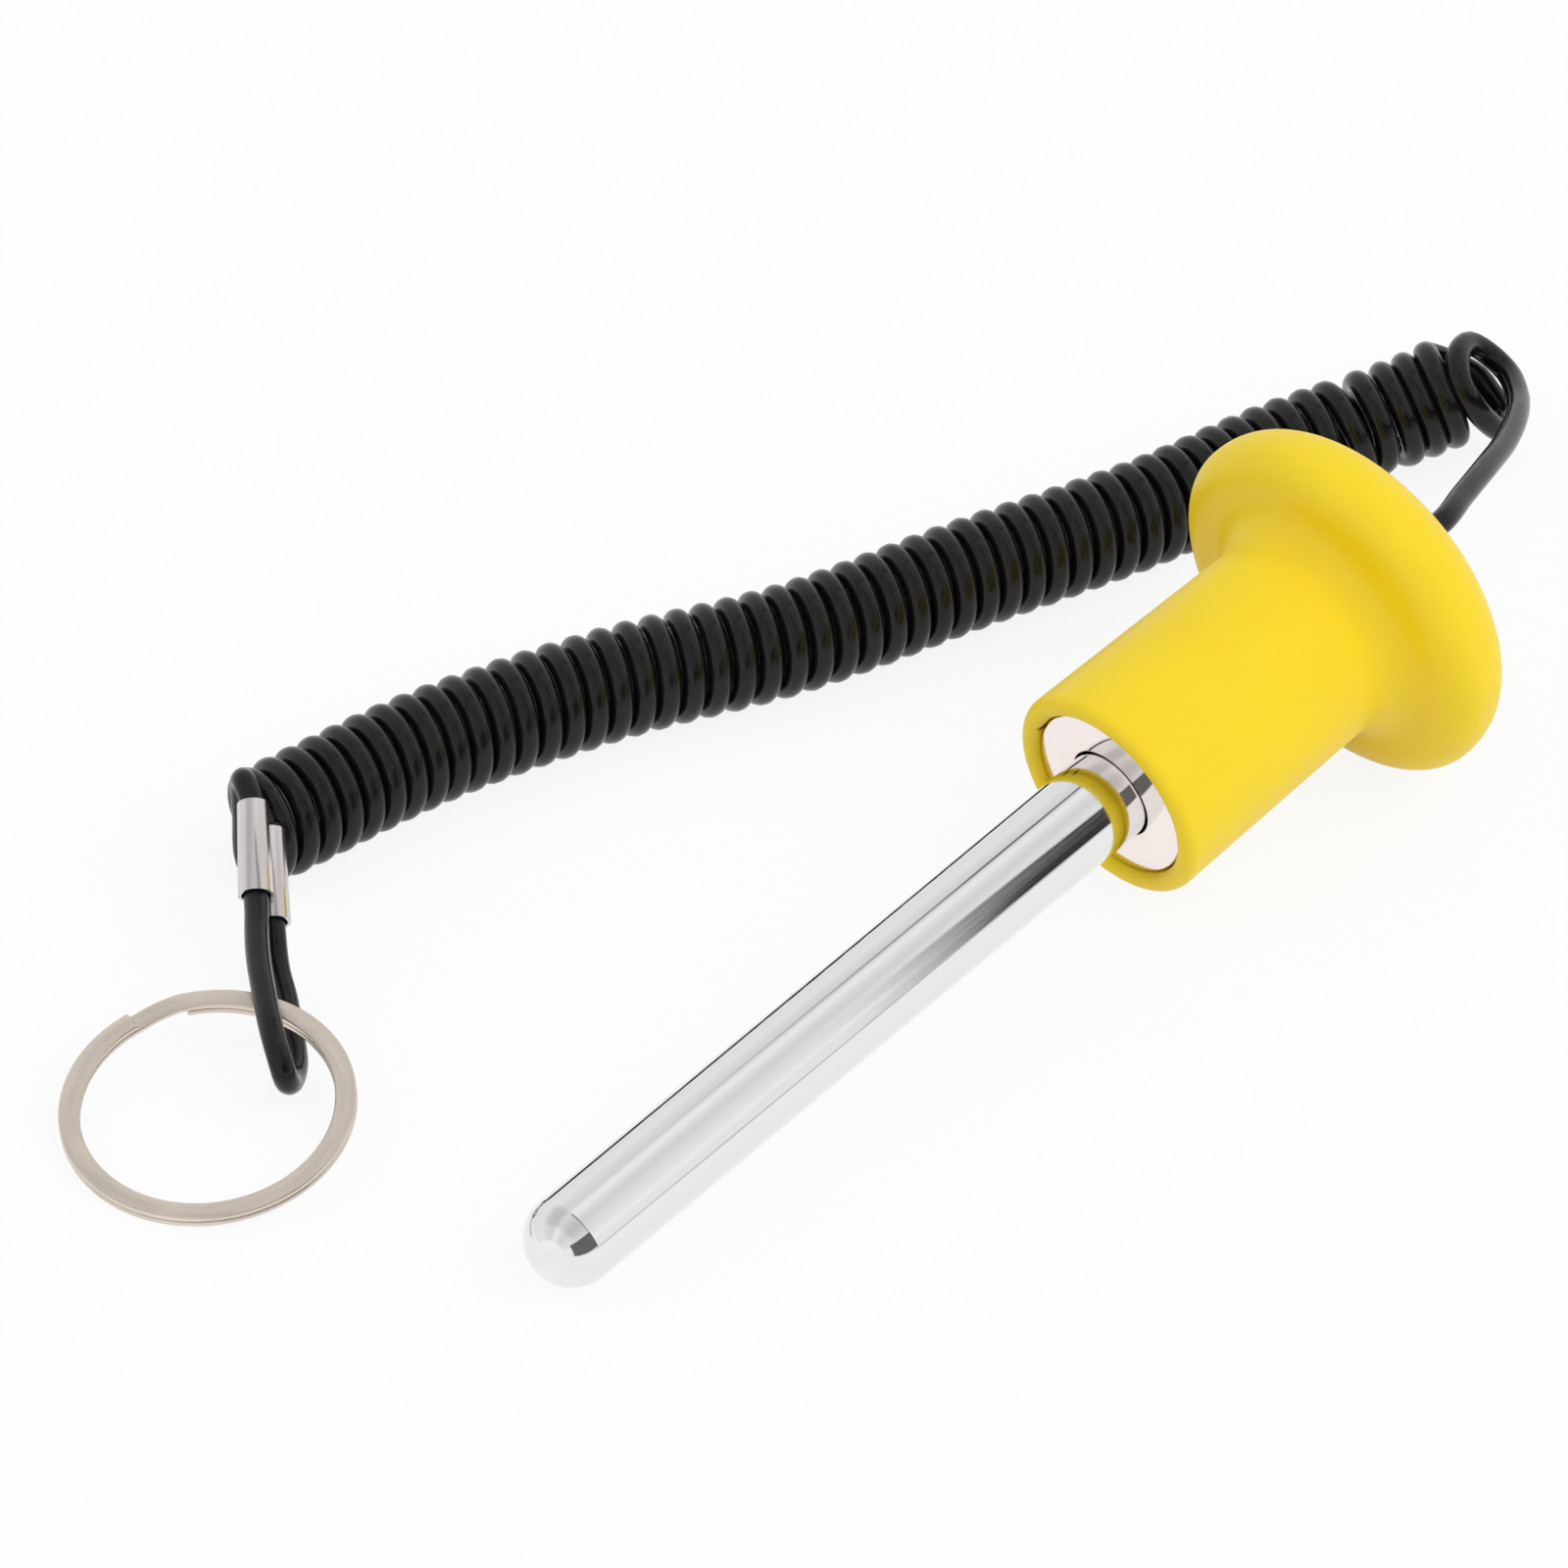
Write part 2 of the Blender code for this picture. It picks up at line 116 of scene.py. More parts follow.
# Crimp sleeve
SLEEVE_RADIUS = 0.00160
SLEEVE_MOUTH_RADIUS = 0.00186
SLEEVE_BORE_RADIUS = 0.00143
SLEEVE_BORE_MOUTH_RADIUS = 0.00152
SLEEVE_SPACING = 0.0032
SLEEVE_SHIFT = 0.0019
SLEEVE_LEAN = math.radians(31.8)
SLEEVE_EDGE_ROUND = 0.00008
SLEEVE_SIDES = 72
SLEEVE_END_PLAY = 1e-6

# Split ring
RING_OUTER_DIAMETER = 0.0306
STRIP_WIDTH = 0.0022
STRIP_THICKNESS = 0.0006
STRIP_BEVEL = 0.0002
TURN_GAP = 0.0001
RING_TILT = math.radians(9.6)
RING_HEADING = math.radians(13.6)
RING_CENTRE_XY = (-0.06927, 0.04210)
TOP_TURN = (math.radians(63.9), math.radians(403.9))
LOWER_TURN = (math.radians(422.0), math.radians(760.6))
RING_RADIUS = (RING_OUTER_DIAMETER - STRIP_WIDTH) / 2
RING_HALF_HEIGHT = STRIP_THICKNESS + TURN_GAP / 2
RING_STEP = math.radians(2.5)
RING_FEWEST_STEPS = 6

# Two specks of dried glue in the gap round the magnet: angle from the pin's own Z toward its
# Y, and how far the stain spreads
GLUE_SPECKS = [(math.radians(44), 0.0006), (math.radians(66), 0.0008)]
GLUE_COLOUR = (0.16, 0.05, 0.02)

# The cord out of the grip and down to the coil, as in the CAD
LEAD_ROUTE = [
    (0.0701, -0.0001, 0.0221), (0.0760, 0.0024, 0.0206), (0.0834, 0.0058, 0.0181),
    (0.0907, 0.0096, 0.0150), (0.0975, 0.0140, 0.0120), (0.1027, 0.0185, 0.0095),
    (0.1057, 0.0227, 0.0086), (0.1057, 0.0255, 0.0095), (0.1040, 0.0266, 0.0112),
    (0.1002, 0.0249, 0.0123), (0.0984, 0.0228, 0.0113), (0.0987, 0.0209, 0.0087),
    (0.1006, 0.0199, 0.0056), (0.1023, 0.0203, 0.0041), (0.1042, 0.0214, 0.0037),
    (0.1050, 0.0229, 0.0041), (0.1053, 0.0248, 0.0050), (0.1051, 0.0262, 0.0062),
]
# From the lead's last point up under its first bend to the top of the next turn, which isn't in
# the CAD
COIL_ENTRY = [
    (0.1040, 0.0280, 0.0074), (0.1023, 0.0291, 0.0088), (0.1002, 0.0294, 0.0104),
]
# The coil, as in the CAD. After the place come the lift off the ground by the lead and the turns'
# outside radius there.
COIL_ROUTE = [
    (-0.0347, 0.0665, 0.0, 0.00630), (-0.0157, 0.0634, 0.0, 0.00622),
    (0.0046, 0.0570, 0.0, 0.00608), (0.0231, 0.0487, 0.0, 0.00600),
    (0.0437, 0.0426, 0.0, 0.00600), (0.0643, 0.0363, 0.0, 0.00588),
    (0.0806, 0.0330, 0.0, 0.00580), (0.0939, 0.0287, 0.0, 0.00588),
    (0.0963, 0.0278, 0.0002, 0.00592), (0.0985, 0.0265, 0.0009, 0.00596),
    (0.1000, 0.0253, 0.0015, 0.00600),
]
# The last turn ends under the coil, and the cord rises inside its open end to the sleeve. The CAD's
# loop leaves its plain tube elsewhere.
LOOP_START = [
    (-0.03844, 0.06346, 0.00295), (-0.03864, 0.06471, 0.00175), (-0.03881, 0.06616, 0.0016),
    (-0.03888, 0.06722, 0.0026), (-0.03882, 0.0676, 0.0046), (-0.03878, 0.0676, 0.0080),
    (-0.03882, 0.06768, 0.0111), (-0.03912, 0.06742, 0.0134), (-0.03986, 0.06625, 0.0144),
]
# The sleeve's upper barrel and the loop below it, as in the CAD
SLEEVE_START = (-0.04092, 0.0641, 0.01333)
SLEEVE_END = (-0.04736, 0.05718, 0.0090)
LOOP_BIGHT = [
    (-0.0489, 0.0555, 0.0086), (-0.0507, 0.0537, 0.0084), (-0.0536, 0.0505, 0.0084),
    (-0.0571, 0.0461, 0.0084), (-0.0605, 0.0415, 0.0081), (-0.0622, 0.0386, 0.0070),
    (-0.0621, 0.0380, 0.0050), (-0.0605, 0.0389, 0.0031), (-0.0575, 0.0413, 0.0021),
    (-0.0544, 0.0450, 0.0022), (-0.0513, 0.0491, 0.0026), (-0.0494, 0.0521, 0.0035),
]

# Turns of the coil, counted from the end beside the grip, that stand closer or further
# apart than the rest: turn, change of pitch
UNEVEN_TURNS = [(1, -0.04), (2, -0.06), (3, 0.06), (4, 0.40), (5, -0.04), (6, 0.07)]
# How far the undersides of the first turns lean back toward the grip, and where round a turn it
# doesn't lean at all
LEANS = [0.0013, 0.0015, 0.0016, 0.0017, 0.0026, 0.0008, 0.0003]
LEAN_ANGLE = math.radians(50)

# Light tent round the pin, seen only in reflections
TENT_RADIUS = 0.5
TENT_HALF_LENGTH = 0.9
TENT_SIDES = 96

# Bands along the tent: degrees from the pin's own Z toward its Y, and brightness there
TENT_BANDS = [
    (-97, 0.95), (-94.5, 0.62), (-91, 0.62), (-90, 0.92), (-78, 0.92), (-64, 1.00),
    (-50, 0.90), (-36, 0.86), (-22, 0.77), (-9, 0.83), (5, 0.98), (12, 0.95), (20, 0.76),
    (37, 0.80), (55, 0.90), (90, 0.86),
]

# Dark seam of the tent: its middle in degrees, how far from there it is full and gone, where it is
# gone and full along the pin's own axis, and the share of light that it takes away
SEAM_MIDDLE = 22.9
SEAM_SPREAD = (1.4, 3.6)
SEAM_PLACE = (0.175, 0.245)
SEAM_SHARE = 0.85

# Dark side of the tent, beside the grip: where it is gone and full along the axis, how far that edge
# wanders and how often, where its lower edge is gone and full in degrees, where its slanting upper
# edge is full and gone and by how much it slants, and the share of light that it takes away
SIDE_PLACE = (0.212, 0.238)
SIDE_RAGGED = 0.010
SIDE_WAVES_PER_METRE = 700.0
SIDE_WAVES_PER_RADIAN = 8.0
SIDE_LOWER_EDGE = (-92.0, -90.5)
SIDE_UPPER_EDGE = (28.6, 29.8)
SIDE_SLANT_PER_METRE = 306.0
SIDE_SHARE = 0.96

# Grey screens on the tent, for the nose, the cord and the sleeve: start and end along the pin's own
# axis, start and end in degrees, how softly both end, and the share of light that they take away
TENT_SCREENS = [
    (0.03, 0.12, -45, 6, 0.015, 4, 0.70), (-0.30, 0.00, -35, 40, 0.10, 20, 0.20),
    (-0.50, 0.10, -86, -50, 0.01, 2, 0.85),
]

# Most values of a noise lie between these two.
NOISE_MIDDLE = (0.3, 0.7)

# Floor, surroundings and lamps. A lamp has its place and its side.
WHITE = (1.0, 1.0, 1.0, 1.0)
FLOOR_REACH = 4.0
FLOOR_GLOW = 0.88
SKY_COLOUR = (0.97, 0.98, 1.0, 1.0)
SKY_STRENGTH = 0.70
KEY_LAMP = ((0.35, -1.1, 1.3), 1.2)
FILL_LAMP = ((-0.8, 0.9, 1.1), 1.0)

# Where the photograph was taken from, and the floor point in its middle
CAMERA_PLACE = (-0.98097, -0.92313, 1.17940)
CAMERA_TARGET = (0.01069, 0.03785, 0.0)


# Settings


def colour_setting(name, description, default):
    """A colour that the user can change."""
    return FloatVectorProperty(
        name=name, description=description, subtype="COLOR", size=3, min=0.0, max=1.0,
        default=default,
    )


class GripSettings(bpy.types.PropertyGroup):
    """Colour and smoothness of the moulded grip."""

    colour: colour_setting(
        "Grip Colour", "Colour of the moulded plastic", (0.955, 0.700, 0.008)
    )
    sides: IntProperty(
        name="Grip Sides", description="Faces round the grip, the magnet and the pin",
        default=144, min=24, max=256,
    )


class PinSettings(bpy.types.PropertyGroup):
    """Finish of the pin and its magnet."""

    chrome_colour: colour_setting(
        "Chrome Colour", "Colour that the chromed pin reflects", (0.86, 0.87, 0.86)
    )
    magnet_colour: colour_setting(
        "Magnet Colour", "Colour that the nickel on the magnet reflects", (0.95, 0.86, 0.83)
    )


class CordSettings(bpy.types.PropertyGroup):
    """Size and colour of the curly cord."""

    turns: IntProperty(
        name="Turns", description="Whole turns in the curly part", default=51, min=10, max=54,
    )
    coil_share: FloatProperty(
        name="Coil Share", description="Width of the turns against the room that the coil has",
        subtype="FACTOR", default=1.0, min=0.8, max=1.0,
    )
    points_per_turn: IntProperty(
        name="Points per Turn", description="Points of the cord's line in each turn",
        default=14, min=12, max=48,
    )
    colour: colour_setting(
        "Cord Colour", "Colour of the cord's sheath", (0.0075, 0.0070, 0.0066)
    )


class FittingSettings(bpy.types.PropertyGroup):
    """Colours of the sleeve and the split ring."""

    sleeve_colour: colour_setting(
        "Sleeve Colour", "Colour of the aluminium sleeve", (0.74, 0.70, 0.69)
    )
    ring_colour: colour_setting(
        "Ring Colour", "Colour of the plated split ring", (0.78, 0.69, 0.60)
    )


class StageSettings(bpy.types.PropertyGroup):
    """Floor, lamps and camera."""

    floor_colour: colour_setting(
        "Floor Colour", "Colour of the studio floor", (0.90, 0.90, 0.90)
    )
    key_power: FloatProperty(
        name="Key Lamp", description="Power of the large soft lamp", subtype="POWER",
        unit="POWER", default=11.0, min=0.0,
    )
    fill_power: FloatProperty(
        name="Fill Lamp", description="Power of the lamp on the other side", subtype="POWER",
        unit="POWER", default=3.0, min=0.0,
    )
    focal_length: FloatProperty(
        name="Focal Length", description="Focal length of the camera in millimetres",
        default=399.5, min=20.0,
    )


class StackPinSettings(bpy.types.PropertyGroup):
    """All settings of the weight stack pin."""

    grip: PointerProperty(type=GripSettings)
    pin: PointerProperty(type=PinSettings)
    cord: PointerProperty(type=CordSettings)
    fittings: PointerProperty(type=FittingSettings)
    stage: PointerProperty(type=StageSettings)


# Outlines of the turned pieces


def arc(centre, half_axes, start, end, steps, power=2.0):
    """Points of a superellipse (an ellipse when power is 2), from one angle to another.

    The angles are in quarter turns: 0 is along +radius and 1 is along +axis.
    """
    points = []
    for step in range(steps + 1):
        angle = (start + (end - start) * step / steps) * math.pi / 2
        sine, cosine = math.sin(angle), math.cos(angle)
        along = math.copysign(abs(sine) ** (2 / power), sine)
        outward = math.copysign(abs(cosine) ** (2 / power), cosine)
        points.append((centre[0] + half_axes[0] * along, centre[1] + half_axes[1] * outward))
    return points


def grip_outline():
    """The grip's section, from the cord hole's mouth round the outside and back inside."""
    mouth_radius = CORD_HOLE_RADIUS + MOUTH_CHAMFER
    mouth_angle = math.acos((mouth_radius / RIM_RADIUS) ** (CROWN_POWER / 2)) / (math.pi / 2)
    crown_size = (CROWN_DEPTH, RIM_RADIUS)
    crown = arc((RIM_DEPTH, 0), crown_size, mouth_angle, 0, CROWN_STEPS, CROWN_POWER)
    rim_centre = (RIM_DEPTH, RIM_RADIUS - RIM_ROUND_RADIAL)
    rim = arc(rim_centre, (RIM_ROUND_AXIAL, RIM_ROUND_RADIAL), 0, -1, RIM_STEPS)
    flange_front = RIM_DEPTH - RIM_ROUND_AXIAL
    fillet_centre = (flange_front - FILLET_RADIUS, BARREL_END_RADIUS + FILLET_RADIUS)
    fillet = arc(fillet_centre, (FILLET_RADIUS, FILLET_RADIUS), 1, 2, FILLET_STEPS)
    lip_centre = (LIP_OUTER_ROUND - LIP_STAND, LIP_RADIUS - LIP_OUTER_ROUND)
    lip = arc(lip_centre, (LIP_OUTER_ROUND, LIP_OUTER_ROUND), 0, -1, LIP_STEPS)
    pocket_radius = MAGNET_RADIUS + SEAT_GAP
    edge_centre = (LIP_INNER_ROUND - LIP_STAND, pocket_radius + LIP_INNER_ROUND)
    edge = arc(edge_centre, (LIP_INNER_ROUND, LIP_INNER_ROUND), -1, -2, EDGE_STEPS)
    pocket_floor = MAGNET_THICKNESS + SEAT_GAP
    bore_radius = PIN_RADIUS + SEAT_GAP
    bore_floor = SHANK_DEPTH + SEAT_GAP
    chamber_radius = STOP_RADIUS + SEAT_GAP
    chamber_end = STOP_END + SEAT_GAP
    inside = [
        (pocket_floor, pocket_radius), (pocket_floor, bore_radius), (bore_floor, bore_radius),
        (bore_floor, chamber_radius), (chamber_end, chamber_radius),
        (chamber_end, CORD_HOLE_RADIUS), (crown[0][0] - MOUTH_CHAMFER, CORD_HOLE_RADIUS),
    ]
    return crown + rim[1:] + fillet + lip + edge + inside


def pin_outline():
    """The pin's section, from the middle of the nose to the middle of the shank's end.

    The nose is a ball's cap that meets the pin at a slight angle.
    """
    ball = (PIN_RADIUS ** 2 + NOSE_LENGTH ** 2) / (2 * NOSE_LENGTH)
    edge = math.asin(PIN_RADIUS / ball)
    nose = []
    for step in range(NOSE_STEPS + 1):
        angle = edge * step / NOSE_STEPS
        nose.append((ball * (1 - math.cos(angle)) - PIN_REACH, ball * math.sin(angle)))
    shank = [
        (SHANK_DEPTH - SHANK_CHAMFER, PIN_RADIUS), (SHANK_DEPTH, PIN_RADIUS - SHANK_CHAMFER),
        (SHANK_DEPTH, 0.0),
    ]
    return nose + shank


def magnet_outline():
    """The magnet's section: a rectangle with small rounds."""
    inner = PIN_RADIUS + SEAT_GAP
    round_size = (MAGNET_BEVEL, MAGNET_BEVEL)
    front, back = MAGNET_BEVEL, MAGNET_THICKNESS - MAGNET_BEVEL
    low, high = inner + MAGNET_BEVEL, MAGNET_RADIUS - MAGNET_BEVEL
    centres = ((front, low), (front, high), (back, high), (back, low))
    outline = []
    for start, centre in enumerate(centres, -2):
        outline += arc(centre, round_size, start, start + 1, BEVEL_STEPS)
    return outline


# Frames and routes


def resting_tilt():
    """The angle at which the nose and the flange's rim both touch the ground."""
    span = RIM_DEPTH + PIN_REACH - NOSE_LENGTH
    tilt = 0.0
    for _ in range(20):
        nose = math.hypot(PIN_RADIUS * math.cos(tilt), NOSE_LENGTH * math.sin(tilt))
        rim_edge = math.hypot(RIM_ROUND_RADIAL * math.cos(tilt), RIM_ROUND_AXIAL * math.sin(tilt))
        rim = (RIM_RADIUS - RIM_ROUND_RADIAL) * math.cos(tilt) + rim_edge
        tilt = math.asin((rim - nose) / span)
    return tilt


def pin_frame():
    """Matrix of the pin's axis: its own X runs up toward the crown, 0 at the magnet's face."""
    lean = Matrix.Rotation(-resting_tilt(), 4, "Y")
    corners = [lean @ Vector((x, 0, -radius)) for x, radius in grip_outline() + pin_outline()]
    middle = (min(corner.x for corner in corners) + max(corner.x for corner in corners)) / 2
    lowest = min(corner.z for corner in corners)
    return Matrix.Translation((-middle, 0, -lowest)) @ lean


def sleeve_frame():
    """Matrix of the sleeve: its own X runs down the upper barrel, its Z to the lower one."""
    start = Vector(SLEEVE_START)
    along = (Vector(SLEEVE_END) - start).normalized()
    level = along.cross(UP).normalized()
    down = along.cross(level)
    if down.z > 0:
        level, down = -level, -down
    side = level if level.x > 0 else -level
    lower = (math.cos(SLEEVE_LEAN) * down + math.sin(SLEEVE_LEAN) * side).normalized()
    across = lower.cross(along)
    return Matrix.Translation(start) @ Matrix((along, across, lower)).transposed().to_4x4()


def sleeve_length():
    """Length of each barrel."""
    return (Vector(SLEEVE_END) - Vector(SLEEVE_START)).length


def ring_frame():
    """Matrix of the ring's middle: its own Z is square to the ring's face."""
    turn = Matrix.Rotation(RING_HEADING, 4, "Z") @ Matrix.Rotation(-RING_TILT, 4, "Y")
    rise = (RING_OUTER_DIAMETER / 2) * math.sin(RING_TILT)
    rise += RING_HALF_HEIGHT * math.cos(RING_TILT)
    return Matrix.Translation((*RING_CENTRE_XY, rise)) @ turn


def smooth_route(points, spacing):
    """Points along a centripetal Catmull-Rom curve through a list of points."""
    padded = [2 * points[0] - points[1], *points, 2 * points[-1] - points[-2]]
    route = []
    for before, start, end, after in zip(padded, padded[1:], padded[2:], padded[3:]):
        pairs = ((before, start), (start, end), (end, after))
        knots = [0.0]
        for first, second in pairs:
            knots.append(knots[-1] + math.sqrt((second - first).length))
        steps = max(1, round((end - start).length / spacing))
        for step in range(steps):
            at = knots[1] + (knots[2] - knots[1]) * step / steps
            outer = [
                low.lerp(high, (at - knots[i]) / (knots[i + 1] - knots[i]))
                for i, (low, high) in enumerate(pairs)
            ]
            inner = [
                outer[i].lerp(outer[i + 1], (at - knots[i]) / (knots[i + 2] - knots[i]))
                for i in range(2)
            ]
            route.append(inner[0].lerp(inner[1], (at - knots[1]) / (knots[2] - knots[1])))
    route.append(points[-1])
    return route


def coil_axis():
    """The coil's axis and its radius there, from beside the grip to the sleeve."""
    points = [
        Vector((x, y, radius + COIL_PLAY + lift, radius))
        for x, y, lift, radius in reversed(COIL_ROUTE)
    ]
    route = smooth_route(points, AXIS_SPACING)
    return [point.xyz for point in route], [point.w for point in route]


def beside_axis(origin, direction):
    """Two directions square to the coil's axis: level on its far side, and upward."""
    far = direction.cross(UP).normalized()
    return far, far.cross(direction)


def general_way(axis, index):
    """The axis's direction near one of its points, evened out over a few turns."""
    before = axis[max(index - AXIS_REACH, 0)]
    after = axis[min(index + AXIS_REACH, len(axis) - 1)]
    return (after - before).normalized()


def seen_from_axis(place, origin, direction):
    """How far along the axis a point lies, at which radius and at which angle."""
    far, upward = beside_axis(origin, direction)
    offset = Vector(place) - origin
    across, rise = offset.dot(far), offset.dot(upward)
    return offset.dot(direction), math.hypot(across, rise), math.atan2(rise, across)


def winding_points(turns, share, points_per_turn):
    """The cord's line in the curly part, from its entry's last point to the loop's first one."""
    axis, room = coil_axis()
    first_way = general_way(axis, 0)
    last_way = general_way(axis, len(axis) - 1)
    reach = [0.0]
    for start, end in zip(axis, axis[1:]):
        reach.append(reach[-1] + (end - start).length)
    begin, begin_radius, begin_angle = seen_from_axis(COIL_ENTRY[-1], axis[0], first_way)
    finish, finish_radius, finish_angle = seen_from_axis(LOOP_START[0], axis[-1], last_way)
    finish += reach[-1]
    sweep = turns * math.tau + finish_angle - begin_angle
    steps = turns * points_per_turn

    weights = []
    for step in range(steps):
        turn = (step + 0.5) / points_per_turn
        extra = sum(more for uneven, more in UNEVEN_TURNS if uneven - 1 <= turn < uneven)
        weights.append(1 + extra)
    pitch_share = (finish - begin) / sum(weights)

    points = []
    along = begin
    for step in range(steps + 1):
        index = max(i for i, gone in enumerate(reach[:-1]) if gone <= max(along, 0.0))
        way = (axis[index + 1] - axis[index]).normalized()
        origin = axis[index] + way * (along - reach[index])
        far, upward = beside_axis(origin, general_way(axis, index))
        angle = begin_angle + sweep * step / steps
        near_begin = max(0.0, 1 - step / (points_per_turn / 2))
        near_finish = max(0.0, 1 - (steps - step) / (points_per_turn / 2))
        turn = step / points_per_turn
        lean = LEANS[int(turn)] if turn < len(LEANS) else 0.0
        under = ((1 - math.cos(angle - LEAN_ANGLE)) / 2) ** 2
        origin = origin - way * lean * under
        radius = share * room[index] - CORD_RADIUS
        out = radius + (begin_radius - radius) * near_begin
        out += (finish_radius - radius) * near_finish
        points.append(origin + out * (math.cos(angle) * far + math.sin(angle) * upward))
        if step < steps:
            along += weights[step] * pitch_share
    return points


def cord_route(turns, share, points_per_turn):
    """The whole cord's line, from its stop in the grip to its end in the sleeve."""
    axis = pin_frame()
    start = axis @ Vector((STOP_START - CORD_TAIL, 0, 0))
    chamber = axis @ Vector((STOP_END, 0, 0))
    mouth = axis @ Vector((RIM_DEPTH + CROWN_DEPTH + CORD_DIAMETER, 0, 0))
    lead = [start, chamber, mouth]
    lead += [Vector(point) for point in LEAD_ROUTE + COIL_ENTRY[:-1]]
    winding = winding_points(turns, share, points_per_turn)
    sleeve = sleeve_frame()
    length = sleeve_length()
    upper = [sleeve @ Vector((x, 0, 0)) for x in (0.0, length / 2, length)]
    lower = [
        sleeve @ Vector((SLEEVE_SHIFT + x, 0, SLEEVE_SPACING))
        for x in (length + CORD_TAIL / 2, length / 2, -CORD_TAIL / 3)
    ]
    loop = [Vector(point) for point in LOOP_START[1:]] + upper
    loop += [Vector(point) for point in LOOP_BIGHT] + lower
    return smooth_route(lead + winding + loop, CORD_SPACING)


# Making pieces


def finished_mesh(name, bm, sharp_angle=math.radians(40)):
    """Turn a bmesh into a smooth-shaded mesh with its faces pointing out."""
    bmesh.ops.remove_doubles(bm, verts=bm.verts, dist=MERGE_DISTANCE)
    bm.normal_update()
    bmesh.ops.recalc_face_normals(bm, faces=bm.faces)
    mesh = bpy.data.meshes.new(name)
    bm.to_mesh(mesh)
    bm.free()
    mesh.shade_smooth()
    mesh.set_sharp_from_angle(angle=sharp_angle)
    return mesh


def rounded(bm, edges, size):
    """Round off some edges of a bmesh."""
    bmesh.ops.bevel(
        bm, geom=edges, offset=size, segments=3, profile=0.5, material=-1, affect="EDGES",
        clamp_overlap=True,
    )


def new_object(name, data):
    """An object in the scene."""
    made = bpy.data.objects.new(name, data)
    bpy.context.scene.collection.objects.link(made)
    return made


def add_piece(name, data, surface, body):
    """Link a piece, give it its surface and tie it to a body."""
    piece = new_object(name, data)
    data.materials.append(surface)
    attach(piece, body)
    return piece


def spun(outline, sides, closed=True):
    """A bmesh turned about its own X axis from a section."""
    bm = bmesh.new()
    verts = [bm.verts.new((x, 0, radius)) for x, radius in outline]
    edges = [bm.edges.new(pair) for pair in zip(verts, verts[1:])]
    if closed:
        edges.append(bm.edges.new((verts[-1], verts[0])))
    bmesh.ops.spin(
        bm, geom=verts + edges, cent=(0, 0, 0), axis=(1, 0, 0), angle=math.tau,
        steps=sides, use_merge=True, use_duplicate=False,
    )
    return bm


def turned_piece(name, outline, sides, surface, closed=True, sharp_angle=40):
    """A piece turned about the pin's axis."""
    bm = spun(outline, sides, closed)
    bm.transform(pin_frame())
    mesh = finished_mesh(name, bm, math.radians(sharp_angle))
    return add_piece(name, mesh, surface, BODY)


# Shader nodes


def feed(tree, node, values):
    """Give a node's inputs plain values or other nodes' outputs."""
    for name, value in values.items():
        if isinstance(value, bpy.types.NodeSocket):
            tree.links.new(value, node.inputs[name])
        else:
            node.inputs[name].default_value = value


def add_node(tree, kind, values=None, **settings):
    """Add a node with its settings and what its inputs get."""
    made = tree.nodes.new(kind)
    for name, value in settings.items():
        setattr(made, name, value)
    feed(tree, made, values or {})
    return made


def calculate(tree, operation, first, second=0.0):
    """The output of a Math node."""
    made = add_node(tree, "ShaderNodeMath", {0: first, 1: second}, operation=operation)
    return made.outputs["Value"]


def vector_math(tree, operation, values, output="Vector"):
    """An output of a Vector Math node."""
    return add_node(tree, "ShaderNodeVectorMath", values, operation=operation).outputs[output]


def combined(tree, **parts):
    """A vector made of the parts that are given."""
    return add_node(tree, "ShaderNodeCombineXYZ", parts).outputs["Vector"]


def separated(tree, vector):
    """The X, Y and Z of a vector."""
    return add_node(tree, "ShaderNodeSeparateXYZ", {"Vector": vector}).outputs


def noise(tree, place, scale, detail, roughness=0.5):
    """The grey of a noise at a place."""
    values = {"Vector": place, "Scale": scale, "Detail": detail, "Roughness": roughness}
    return add_node(tree, "ShaderNodeTexNoise", values).outputs["Fac"]


def between(tree, value, low, high, first, last):
    """A value that goes from first to last while another goes from low to high."""
    ends = {"From Min": low, "From Max": high, "To Min": first, "To Max": last}
    return add_node(tree, "ShaderNodeMapRange", {"Value": value, **ends}).outputs["Result"]


def vary(tree, mask, low, high):
    """Spread a mask's middle range over two values."""
    return between(tree, mask, *NOISE_MIDDLE, low, high)


def tint(tree, mask, first, second):
    """Mix two colours by a mask. The first may be another mix."""
    if not isinstance(first, bpy.types.NodeSocket):
        first = (*first, 1.0)
    mix = add_node(tree, "ShaderNodeMix", {0: mask}, data_type="RGBA")
    places = [index for index, socket in enumerate(mix.inputs) if socket.type == "RGBA"]
    feed(tree, mix, {places[0]: first, places[1]: (*second, 1.0)})
    return next(socket for socket in mix.outputs if socket.type == "RGBA")


def scaled(colour, factor):
    """A colour made darker or lighter."""
    return tuple(min(1.0, channel * factor) for channel in colour)


def fine_grain(group, given):
    """Fine grain over slow unevenness, for moulded and extruded plastic."""
    fine = noise(group, given["Vector"], given["Grain per Metre"], 3.0, 0.6)
    slow = noise(group, given["Vector"], given["Unevenness per Metre"], 2.0)
    slow_share = calculate(group, "MULTIPLY", slow, 0.8)
    fine_share = calculate(group, "MULTIPLY", fine, 0.2)
    return fine, calculate(group, "ADD", slow_share, fine_share)


def drawn_lines(group, given):
    """Long thin lines along the local X axis, as drawing and polishing leave them. On the sleeve and
    the stop, their slow tone is deep enough to serve as painted reflection bands too.
    """
    lines = given["Lines per Metre"]
    scales = combined(group, X=given["Breaks per Metre"], Y=lines, Z=lines)
    place = vector_math(group, "MULTIPLY", {0: given["Vector"], 1: scales})
    return noise(group, place, 1.0, 3.0, 0.55), noise(group, place, 0.12, 1.0)


